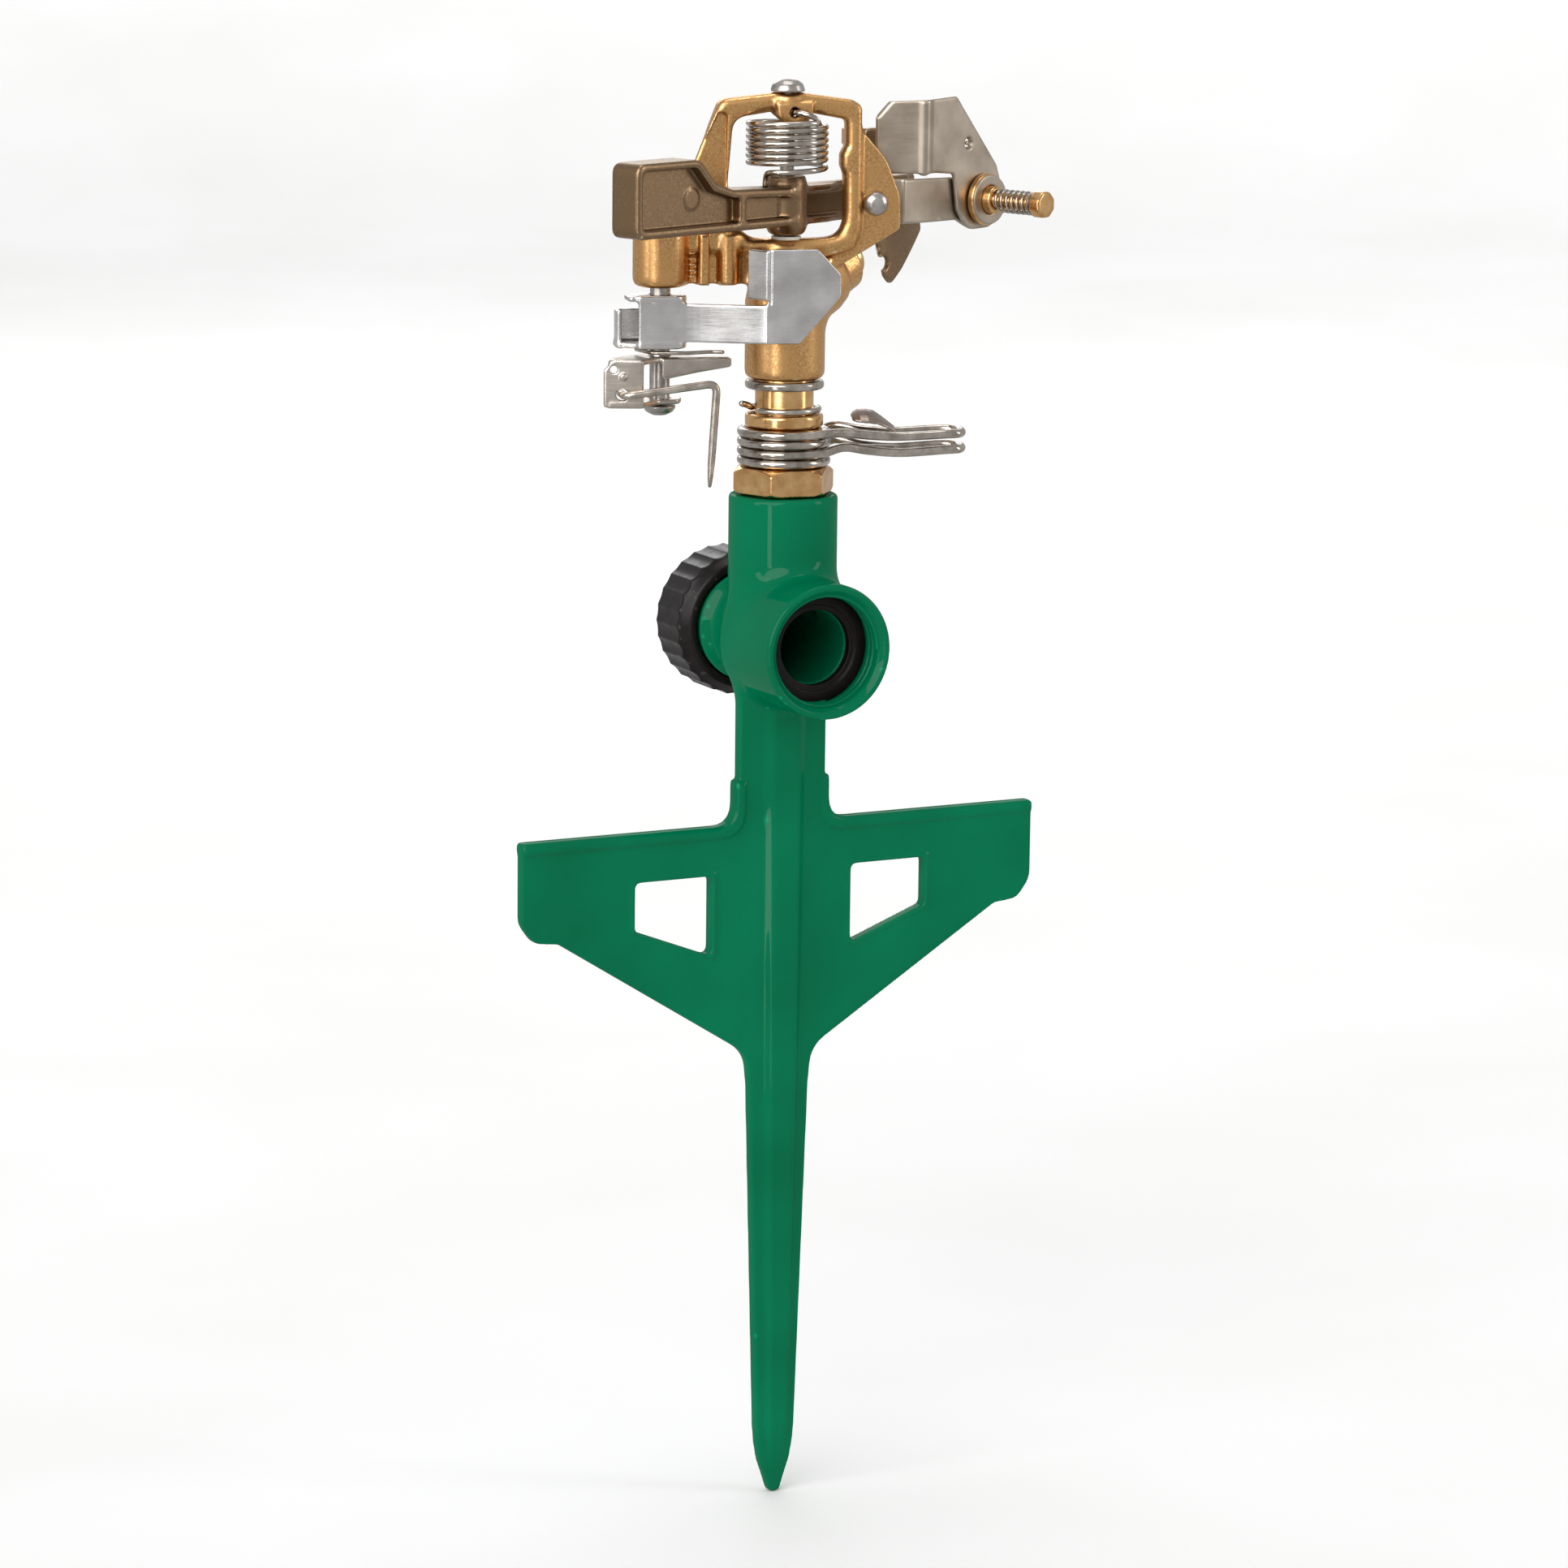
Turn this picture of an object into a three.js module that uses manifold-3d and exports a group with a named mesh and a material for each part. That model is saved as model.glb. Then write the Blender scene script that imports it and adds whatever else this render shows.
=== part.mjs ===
// Impact sprinkler on a step spike: a brass impact head that turns on a flow-through, enamelled zinc spike.
// Millimetres, +Z up. The origin is on the head's turning axis, level with the tops of the foot steps.
// The wings lie along X, the hose inlet opens towards -Y and the capped outlet towards +Y.
import * as THREE from "three";
import { mergeVertices } from "three/addons/utils/BufferGeometryUtils.js";
import Module from "manifold-3d";

const wasm = await Module();
wasm.setup();

// ---------------------------------------------------------------- driving dimensions
const gap = 0.3; // clearance between pieces that touch
const degree = Math.PI / 180;

const spike = {
  tipZ: -171.2, pointZ: -158, shoulderZ: -62, rootHalf: 8.0, endHalf: 5.0,
  plate: 3.2, ribHalf: 3.4, ribDepth: 4.1,
};
const wing = {
  half: 69.8, outerDepth: 20, slope: 0.642, rimHeight: 3, rimDepth: 4.4,
  windowInner: 19.1, windowOuter: 39.6, windowTop: -12, windowDepth: 20, windowSlope: 0.385,
};
const neck = { half: 12.2, top: 42 };
const tee = { z: 46.1, inletR: 16.5, inletY: -26.2, boreR: 9, outletR: 13, outletY: 28.4 };
const socket = { r: 13.7, depth: 7.4, mouthR: 15.2, mouthDepth: 1.8 };
const riser = { r: 13.25, top: 81.2, boreR: 10.3, boreFloor: 62 };
const cap = { r: 18.2, inner: 14, front: 18.4, back: 33.8, wall: 3.2, ribs: 28 };

const sleeve = {
  bottom: 69, hexBottom: 81.6, hexTop: 88.2, acrossFlats: 22, turn: -10, r: 8.9,
  rimBottom: 97.7, top: 100.9, rimR: 9.5, bore: 7.5,
};
const stem = { r: 7.1, bore: 4.6, bottom: 63.6, top: 117.5, flangeR: 9.6, flange: 2 };
const collar = { wire: 2.2, r: 10.3, low: 89.5, pitch: 2.3, reach: 43.8, halfGap: 4.6 };

const bridge = {
  bar: 4.2, half: 15.9, leftFoot: 22, floor: 140.2, roof: 176.2, peak: 178.1, depth: 5.6,
};
const skirt = { r: 9.7, bottom: 109.3 };
const streamTurn = 37; // the nozzle and the arm point this far round from the bridge's plane
const headTurn = -16; // the bridge's plane from the wings' plane
const barrel = { rise: 25, rootZ: 127, r: 7.2, length: 22, bore: 4.2 };
const lug = { x: -30.6, r: 6.7, bottom: 131.8, top: 146 };
const pin = { r: 1.7, headR: 4.1, headZ: 178.4, top: 181.4 };
const shaft = { r: 2.45, bottom: 100.6, headR: 3.9, top: 141 };
const rivet = { x: 21.6, z: 151.5, r: 1.6, headR: 3 };
const spring = { r: 9.4, wire: 1.5, low: 159.8, top: 171.2, turns: 7 };
const hub = { r: 4.9, bottom: 144, top: 158.2 };
const strap = { y: -17, end: 51.2, endZ: 150.7 };
const screw = { r: 1.9, headR: 3.3, headY: -38.6, tipY: -7.5 };
const sheetThickness = 1.2;

// ---------------------------------------------------------------- solids
// A closed three.js geometry as a solid with its faces outwards.
function solid(geometry) {
  const bare = (geometry.index ? geometry.toNonIndexed() : geometry.clone());
  for (const name of Object.keys(bare.attributes)) {
    if (name !== "position") bare.deleteAttribute(name);
  }
  const merged = mergeVertices(bare, 1e-4);
  const corners = merged.index.array;
  const faces = [];
  for (let i = 0; i < corners.length; i += 3) {
    const [a, b, c] = [corners[i], corners[i + 1], corners[i + 2]];
    if (a !== b && b !== c && c !== a) faces.push(a, b, c);
  }
  const make = (triangles) => new wasm.Manifold(new wasm.Mesh({
    numProp: 3,
    vertProperties: new Float32Array(merged.attributes.position.array),
    triVerts: new Uint32Array(triangles),
  }));
  const made = make(faces);
  if (made.volume() > 0) return made;
  return make(faces.map((_, i) => faces[i - (i % 3) + 2 - (i % 3)]));
}

const union = (first, ...others) => others.reduce((whole, piece) => whole.add(piece), first);
const cut = (first, ...others) => others.reduce((whole, piece) => whole.subtract(piece), first);

function geometryOf(made) {
  const mesh = made.getMesh();
  const points = new Float32Array(mesh.numVert * 3);
  for (let i = 0; i < mesh.numVert; i += 1) {
    for (let k = 0; k < 3; k += 1) points[3 * i + k] = mesh.vertProperties[mesh.numProp * i + k];
  }
  const indexed = new THREE.BufferGeometry();
  indexed.setAttribute("position", new THREE.BufferAttribute(points, 3));
  indexed.setIndex(new THREE.BufferAttribute(new Uint32Array(mesh.triVerts), 1));
  const flat = indexed.toNonIndexed();
  flat.computeVertexNormals();
  return flat;
}

// An outline whose corners [x, y, radius] are rounded where a radius is given.
function outline(corners) {
  const shape = new THREE.Shape();
  corners.forEach(([x, y, radius = 0], i) => {
    const before = corners[(i + corners.length - 1) % corners.length];
    const after = corners[(i + 1) % corners.length];
    const here = new THREE.Vector2(x, y);
    const back = new THREE.Vector2(before[0] - x, before[1] - y);
    const ahead = new THREE.Vector2(after[0] - x, after[1] - y);
    const half = Math.acos(back.clone().normalize().dot(ahead.clone().normalize())) / 2;
    const reach = Math.min(radius / Math.tan(half), back.length() * 0.49, ahead.length() * 0.49);
    const enter = here.clone().addScaledVector(back.normalize(), reach);
    const leave = here.clone().addScaledVector(ahead.normalize(), reach);
    if (i === 0) shape.moveTo(enter.x, enter.y);
    else shape.lineTo(enter.x, enter.y);
    if (radius > 0) shape.quadraticCurveTo(here.x, here.y, leave.x, leave.y);
  });
  shape.closePath();
  return shape;
}

function extruded(shape, depth, { soft = 0, segments = 2 } = {}) {
  return new THREE.ExtrudeGeometry(shape, {
    depth: depth - 2 * soft,
    bevelEnabled: soft > 0,
    bevelThickness: soft,
    bevelSize: soft,
    bevelOffset: -soft,
    bevelSegments: 1,
    curveSegments: segments,
  }).translate(0, 0, soft);
}

// A plan outline raised from one height to another.
const column = (shape, low, high, detail) =>
  solid(extruded(shape, high - low, detail).translate(0, 0, low));

// An outline drawn in X and Z, with its thickness from y = front to y = back.
const plate = (shape, front, back, detail) =>
  solid(extruded(shape, back - front, detail).rotateX(Math.PI / 2).translate(0, back, 0));

// A solid of revolution about Z: the profile is [radius, z] and closes on the axis or on itself.
function turned(profile, sides = 16) {
  const points = profile.map(([r, z]) => new THREE.Vector2(r, z));
  if (profile[0][0] > 0) points.push(points[0].clone());
  return solid(new THREE.LatheGeometry(points, sides).rotateX(Math.PI / 2));
}
const rod = (r, low, high, sides = 16) => turned([[0, low], [r, low], [r, high], [0, high]], sides);
const ring = (inner, outer, low, high, sides = 16) =>
  turned([[inner, low], [outer, low], [outer, high], [inner, high]], sides);

function polygon(sides, r, start = 0) {
  const shape = new THREE.Shape();
  for (let i = 0; i < sides; i += 1) {
    const angle = start + (i * 2 * Math.PI) / sides;
    if (i === 0) shape.moveTo(r * Math.cos(angle), r * Math.sin(angle));
    else shape.lineTo(r * Math.cos(angle), r * Math.sin(angle));
  }
  shape.closePath();
  return shape;
}

// Round wire along a curve.
function wire(curve, diameter, steps, sides = 6) {
  const section = polygon(sides, diameter / 2);
  return solid(new THREE.ExtrudeGeometry(section, { steps, extrudePath: curve, bevelEnabled: false }));
}
const smooth = (points, tension = 0.5) =>
  new THREE.CatmullRomCurve3(points.map((p) => new THREE.Vector3(...p)), false, "catmullrom", tension);

// Straight runs of wire joined by bends of one radius.
function bentPath(points, radius) {
  const path = new THREE.CurvePath();
  const corner = points.map((p) => new THREE.Vector3(...p));
  let from = corner[0];
  for (let i = 1; i < corner.length - 1; i += 1) {
    const back = corner[i - 1].clone().sub(corner[i]);
    const ahead = corner[i + 1].clone().sub(corner[i]);
    const reach = Math.min(radius, back.length() * 0.49, ahead.length() * 0.49);
    const enter = corner[i].clone().addScaledVector(back.normalize(), reach);
    const leave = corner[i].clone().addScaledVector(ahead.normalize(), reach);
    path.add(new THREE.LineCurve3(from, enter));
    path.add(new THREE.QuadraticBezierCurve3(enter, corner[i], leave));
    from = leave;
  }
  path.add(new THREE.LineCurve3(from, corner[corner.length - 1]));
  return path;
}

// A skin over a row of rings, each a list of [x, y, z] with the same number of points.
function lofted(rings) {
  const count = rings[0].length;
  const points = rings.flat().flat();
  const faces = [];
  for (let k = 0; k < rings.length - 1; k += 1) {
    for (let i = 0; i < count; i += 1) {
      const a = k * count + i;
      const b = k * count + ((i + 1) % count);
      faces.push(a, b, a + count, b, b + count, a + count);
    }
  }
  const last = (rings.length - 1) * count;
  for (let i = 1; i < count - 1; i += 1) {
    faces.push(0, i + 1, i);
    faces.push(last, last + i, last + i + 1);
  }
  const geometry = new THREE.BufferGeometry();
  geometry.setAttribute("position", new THREE.Float32BufferAttribute(points, 3));
  geometry.setIndex(faces);
  return solid(geometry);
}

// ---------------------------------------------------------------- finishes
const finish = {
  enamel: { color: 0x04764f, roughness: 0.25, metalness: 0.0 },
  brass: { color: 0xb8863b, roughness: 0.45, metalness: 1.0 },
  turnedBrass: { color: 0xc9974c, roughness: 0.25, metalness: 1.0 },
  bronze: { color: 0x84683f, roughness: 0.5, metalness: 1.0 },
  stainless: { color: 0xb3aba2, roughness: 0.35, metalness: 1.0 },
  steel: { color: 0xa6a4a2, roughness: 0.3, metalness: 1.0 },
  springSteel: { color: 0xbfb9b0, roughness: 0.22, metalness: 1.0 },
  blackPlastic: { color: 0x1d191a, roughness: 0.45, metalness: 0.0 },
  rubber: { color: 0x1c1516, roughness: 0.6, metalness: 0.0 },
  nylon: { color: 0xd9d5c6, roughness: 0.5, metalness: 0.0 },
};

const model = new THREE.Group();
const head = new THREE.Group();
const stream = new THREE.Group();
head.rotation.z = headTurn * degree;
stream.rotation.z = streamTurn * degree;
model.add(head);
head.add(stream);

function piece(group, name, made, look) {
  const mesh = new THREE.Mesh(geometryOf(made), new THREE.MeshStandardMaterial(finish[look]));
  mesh.name = name;
  group.add(mesh);
}

// ---------------------------------------------------------------- spike, wings and tee
// The edge of the spike's plate: half the width at a height.
function spikeHalf(z) {
  const share = (spike.shoulderZ - z) / (spike.shoulderZ - spike.pointZ);
  return spike.rootHalf + (spike.endHalf - spike.rootHalf) * share;
}

function wingOutline() {
  const right = [
    [1.2, spike.tipZ, 1],
    [4.1, spike.pointZ - 5, 3],
    [spike.endHalf, spike.pointZ, 3],
    [spike.rootHalf, -66, 8],
    [spike.rootHalf + 1, -57.5, 10],
    [wing.half - 10, wing.slope * (wing.half - 10) - 63.9, 3],
    [wing.half - 3.6, -wing.outerDepth - 4.8, 4],
    [wing.half, -wing.outerDepth, 6],
    [wing.half, 0, 1],
    [neck.half + 0.6, 0, 8],
    [neck.half + 0.6, 9.4, 1],
    [neck.half - 0.4, 10.8, 1],
    [neck.half - 0.4, neck.top, 0],
  ];
  const left = right.map(([x, z, r]) => [-x, z, r]).reverse();
  return outline([...right, ...left]);
}

// A wing window: its lower edge rises outwards.
function wingWindow(side, grow = 0) {
  const [inner, outer] = [wing.windowInner - grow, wing.windowOuter + grow];
  const top = wing.windowTop + grow;
  const low = top - wing.windowDepth - 2 * grow;
  return outline([
    [side * inner, low, 1.5],
    [side * outer, low + wing.windowSlope * (outer - inner), 1.5],
    [side * outer, top, 1.5],
    [side * inner, top, 1.5],
  ]);
}

// The rib down the middle of the plate, with hollow flanks.
function ribSection(z, halfFace, depth, flank) {
  const skin = spike.plate / 2 - 0.4;
  const waist = [halfFace + (flank - halfFace) * 0.3, skin + (depth - skin) * 0.4];
  const quarter = [[halfFace, depth], waist, [flank, skin]];
  const front = quarter.map(([x, y]) => [x, -y, z]);
  const back = quarter.map(([x, y]) => [x, y, z]).reverse();
  const opposite = [...front, ...back].map(([x, y]) => [-x, -y, z]);
  return [...front, ...back, ...opposite];
}

// The thick rim that stands along each step and turns up beside the neck.
function rimBeads() {
  const rimEnd = 11.2;
  return [1, -1].map((side) => plate(outline([
    [side * (neck.half + 0.6), rimEnd, 0.8],
    [side * (neck.half + 0.6), 0, 8],
    [side * wing.half, 0, 1],
    [side * wing.half, -wing.rimHeight, 1.2],
    [side * (neck.half - 2.4), -wing.rimHeight, 10],
    [side * (neck.half - 2.4), rimEnd, 0.8],
  ]), -wing.rimDepth / 2, wing.rimDepth / 2));
}

// A solid made about Z, laid along Y at the tee's height.
const lyingAtTee = (made) => made.rotate([-90, 0, 0]).translate([0, 0, tee.z]);

function spikeBase() {
  const blade = plate(wingOutline(), -spike.plate / 2, spike.plate / 2);
  const ribHeights = [
    [neck.top + 1, spike.ribHalf, spike.ribDepth, 11.2],
    [10, spike.ribHalf, spike.ribDepth, 11],
    [-30, spike.ribHalf, spike.ribDepth, 9.6],
    [-66, spike.ribHalf - 0.1, spike.ribDepth, 7.6],
    [spike.pointZ + 4, spike.ribHalf - 1.1, spike.ribDepth - 0.6, 4.9],
    [spike.tipZ + 0.5, 0.5, 0.9, 0.9],
  ];
  const rib = lofted(ribHeights.map((row) => ribSection(...row)));
  const windows = [1, -1].map((side) => plate(wingWindow(side), -9, 9));
  const sillHalf = spike.plate / 2 + 0.35;
  const sills = [1, -1].map((side) => plate(wingWindow(side, 1.3), -sillHalf, sillHalf));
  const tube = turned([
    [0, tee.z - 6], [riser.r, tee.z - 6], [riser.r, riser.top - 0.7],
    [riser.r - 0.7, riser.top], [0, riser.top],
  ], 24);
  const barrelProfile = [
    [0, tee.inletY], [tee.inletR - 0.4, tee.inletY], [tee.inletR, tee.inletY + 0.5],
    [tee.inletR, 0], [tee.inletR - 3.4, 6.5], [11, 10], [11.6, 15],
    [13.8, 17.2], [13.8, 18.1], [tee.outletR, 18.3],
    [tee.outletR, tee.outletY - 0.8], [tee.outletR - 0.8, tee.outletY],
    [0, tee.outletY],
  ];
  const body = lyingAtTee(turned(barrelProfile, 32));
  const seat = tee.inletY + socket.depth + 3;
  const hollow = lyingAtTee(turned([
    [0, tee.inletY - 2], [socket.mouthR, tee.inletY - 2], [socket.mouthR, tee.inletY - 0.01],
    [socket.r, tee.inletY + socket.mouthDepth], [socket.r, seat],
    [tee.boreR, seat], [tee.boreR, 31], [0, 31],
  ], 24));
  const upright = turned([
    [0, tee.z], [8.2, tee.z], [8.2, riser.boreFloor], [riser.boreR, riser.boreFloor],
    [riser.boreR, riser.top + 1], [0, riser.top + 1],
  ], 24);
  const whole = union(cut(union(blade, ...sills), ...windows), rib, ...rimBeads(), tube, body);
  return cut(whole, hollow, upright);
}
piece(model, "spike_base", spikeBase(), "enamel");

const washerFront = tee.inletY + socket.depth;
piece(model, "inlet_washer", lyingAtTee(turned([
  [9.2, washerFront + 0.5], [10.4, washerFront + 0.5], [10.7, washerFront], [13.3, washerFront],
  [13.3, washerFront + 2.7], [9.2, washerFront + 2.7],
], 24)), "rubber");

function outletCap() {
  const grip = column(polygon(cap.ribs, cap.r), cap.front + 1.6, cap.back - 1);
  const core = turned([
    [0, cap.front], [15, cap.front], [16.6, cap.front + 1.8],
    [cap.r - 0.5, cap.back - 1.2], [cap.r - 1.6, cap.back], [0, cap.back],
  ], 24);
  const hollow = rod(cap.inner, cap.front - 1, cap.back - cap.wall, 24);
  return cut(union(core, grip), hollow);
}
piece(model, "outlet_cap", lyingAtTee(outletCap()), "blackPlastic");
const capWasher = ring(4, 12.6, tee.outletY + gap, cap.back - cap.wall - gap, 20);
piece(model, "cap_washer", lyingAtTee(capWasher), "rubber");

// ---------------------------------------------------------------- bearing
function bearingSleeve() {
  const across = sleeve.acrossFlats / 2;
  const corner = across / Math.cos(Math.PI / 6);
  const hex = column(polygon(6, corner, sleeve.turn * degree), sleeve.hexBottom, sleeve.hexTop);
  const chamfer = turned([
    [0, sleeve.hexBottom - 1], [across - 0.2, sleeve.hexBottom - 1], [corner + 0.1, sleeve.hexBottom + 1],
    [corner + 0.1, sleeve.hexTop - 1.4], [across - 0.6, sleeve.hexTop], [0, sleeve.hexTop],
  ], 24);
  const body = turned([
    [0, sleeve.bottom], [riser.boreR - gap, sleeve.bottom], [riser.boreR - gap, sleeve.hexBottom + 1],
    [sleeve.r, sleeve.hexTop - 1], [sleeve.r, sleeve.rimBottom], [sleeve.rimR, sleeve.rimBottom + 0.5],
    [sleeve.rimR, sleeve.top - 0.5], [sleeve.rimR - 0.5, sleeve.top], [0, sleeve.top],
  ], 20);
  const bore = rod(sleeve.bore, sleeve.bottom - 1, sleeve.top + 1, 20);
  return cut(union(hex.intersect(chamfer), body), bore);
}
piece(model, "bearing_sleeve", bearingSleeve(), "turnedBrass");

function bearingStem() {
  return turned([
    [stem.bore, stem.bottom], [stem.flangeR, stem.bottom], [stem.flangeR, stem.bottom + stem.flange],
    [stem.r, stem.bottom + stem.flange], [stem.r, stem.top], [stem.bore, stem.top],
  ], 20);
}
piece(head, "bearing_stem", bearingStem(), "turnedBrass");
const stemShelf = stem.bottom + stem.flange;
piece(head, "thrust_washer", ring(stem.r + gap, 9.6, stemShelf + gap, stemShelf + 1.4, 36), "nylon");
piece(model, "seal_washer", ring(stem.r + gap, 9.8, stemShelf + 1.7, sleeve.bottom - gap, 16), "rubber");
piece(head, "dust_washer", turned([
  [stem.r + gap, 107], [9.2, 107], [9.6, 107.5], [9.6, 108.4], [9.2, 109], [stem.r + gap, 109],
], 20), "steel");

// An open ring of wire snapped round the stem.
function retainingRing() {
  const at = (angle, r, z) => [r * Math.cos(angle * degree), r * Math.sin(angle * degree), z];
  const r = stem.r + 1.2;
  const z = 102.1;
  const points = [];
  for (let angle = 215; angle <= 515; angle += 20) points.push(at(angle, r, z));
  points.push(at(519, r * 1.12, z + 0.75));
  return wire(smooth(points), 1.7, 22);
}
piece(head, "retaining_ring", retainingRing(), "springSteel");

// A friction collar: one wire, a turn round the sleeve at each end of a closed finger loop. The upper turn
// leaves the sleeve in front and the lower turn behind, so squeezing the finger opens both. lifts are the
// finger's heights over the upper turn, from the sleeve outwards.
function frictionCollar(low, lifts) {
  const turn = (angle, z) => [collar.r * Math.cos(angle * degree), collar.r * Math.sin(angle * degree), z];
  const [leave, freeEnd, step] = [74, 398, 27];
  const upper = low + collar.pitch;
  const gapHalf = collar.halfGap;
  const leg = [
    [13.6, 6.8, lifts[0]], [20, 5, lifts[1]], [28, gapHalf, lifts[2]],
    [collar.reach - 5, gapHalf, lifts[3]], [collar.reach - 1.1, gapHalf * 0.7, lifts[3]],
  ];
  const points = [];
  for (let angle = -freeEnd; angle <= -leave; angle += step) points.push(turn(angle, upper));
  points.push([8.2, -8.9, upper + 0.3]);
  for (const [x, y, lift] of leg) points.push([x, -y, upper + lift]);
  points.push([collar.reach, 0, upper + lifts[3] + 0.1]);
  for (const [x, y, lift] of leg.toReversed()) points.push([x, y, upper + lift + 0.1]);
  points.push([8.2, 8.9, low + 0.2]);
  for (let angle = leave; angle <= freeEnd; angle += step) points.push(turn(angle, low));
  return wire(smooth(points), collar.wire, 60, 5);
}
const fingerGroup = new THREE.Group();
fingerGroup.rotation.z = headTurn * degree;
model.add(fingerGroup);
const upperLow = collar.low + 2 * collar.pitch;
piece(fingerGroup, "lower_collar", frictionCollar(collar.low, [1.35, 0.25, -0.45, 0.1]), "springSteel");
piece(fingerGroup, "upper_collar", frictionCollar(upperLow, [0.2, -0.65, -1.1, -0.7]), "springSteel");

// A leaf of sheet metal between the two wires of a finger. slant is how far it is twisted towards the front.
function fingerLeaf(z, lift, slant) {
  const half = 3.1;
  const rows = [
    [16.6, lift * 0.75, 0.9], [18.6, lift, 1], [21.5, lift, 1], [24.4, lift * 0.6, 0.85], [27.4, 0, 0.6],
  ];
  const rings = rows.map(([x, rise, width]) => {
    const tilt = half * width * slant;
    return [
      [x, -half * width, z + rise - tilt + 0.5], [x, -half * width, z + rise - tilt],
      [x, half * width, z + rise + tilt], [x, half * width, z + rise + tilt + 0.5],
    ];
  });
  return lofted(rings);
}
piece(fingerGroup, "lower_collar_tab", fingerLeaf(collar.low + 2.6, 0.2, 0), "stainless");
piece(fingerGroup, "upper_collar_tab", fingerLeaf(upperLow + 2.2, 3.8, 0.4), "stainless");

// ---------------------------------------------------------------- head casting
function bridgeLoop() {
  const b = bridge.bar;
  const outer = outline([
    [bridge.half + 2.1, bridge.floor, 7],
    [bridge.half + 2.1, bridge.roof - 1.2, 3],
    [bridge.half - 0.4, bridge.roof + 0.2, 2],
    [3, bridge.peak, 4],
    [-3, bridge.peak, 4],
    [-bridge.half - 0.8, bridge.roof + 0.4, 3],
    [-bridge.leftFoot - 7.2, bridge.floor + 4.6, 2],
    [-bridge.leftFoot - 7.2, bridge.floor, 0],
  ]);
  const inner = outline([
    [bridge.half - 1.9, bridge.floor + 2.4, 7],
    [bridge.half - 1.9, bridge.roof - 4.6, 3],
    [bridge.half - 4, bridge.roof - 4.2, 1],
    [3, bridge.peak - b - 0.2, 3],
    [-3, bridge.peak - b - 0.2, 3],
    [-bridge.half + 2.6, bridge.roof - 4.2, 4],
    [-bridge.half + 1.4, 157, 0],
    [-bridge.half + 2.6, 148, 3],
    [-bridge.half + 6.8, bridge.floor + 2.4, 2],
  ]);
  const slab = plate(outer, -bridge.depth / 2, bridge.depth / 2, { soft: 1.3 });
  const window = plate(inner, -9, 9);
  const bars = cut(slab, window);
  // The left leg's web is thinner than the bar along its outer edge.
  const thin = outline([
    [-bridge.half + 0.8, 150, 0],
    [-bridge.half + 0.8, 173.4, 2],
    [-bridge.half - 1.2, 173.4, 1],
    [-bridge.leftFoot - 2.2, 158, 0],
    [-bridge.leftFoot - 4, 150, 0],
  ]);
  return cut(bars, plate(thin, -9, -1), plate(thin, 1, 9));
}

// A solid made about Z, laid along the nozzle: out of the column, up and round to the stream.
const alongNozzle = (made) => made.rotate([0, 90 - barrel.rise, 0]).rotate([0, 0, streamTurn])
  .translate([0, 0, barrel.rootZ]);

function noseBarrel() {
  return alongNozzle(turned([
    [0, -4], [6.4, -4], [8.8, 0], [8.8, 12], [8.2, 15], [barrel.r, 16.4],
    [barrel.r, barrel.length - 0.6], [barrel.r - 0.6, barrel.length], [0, barrel.length],
  ], 16));
}

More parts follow.
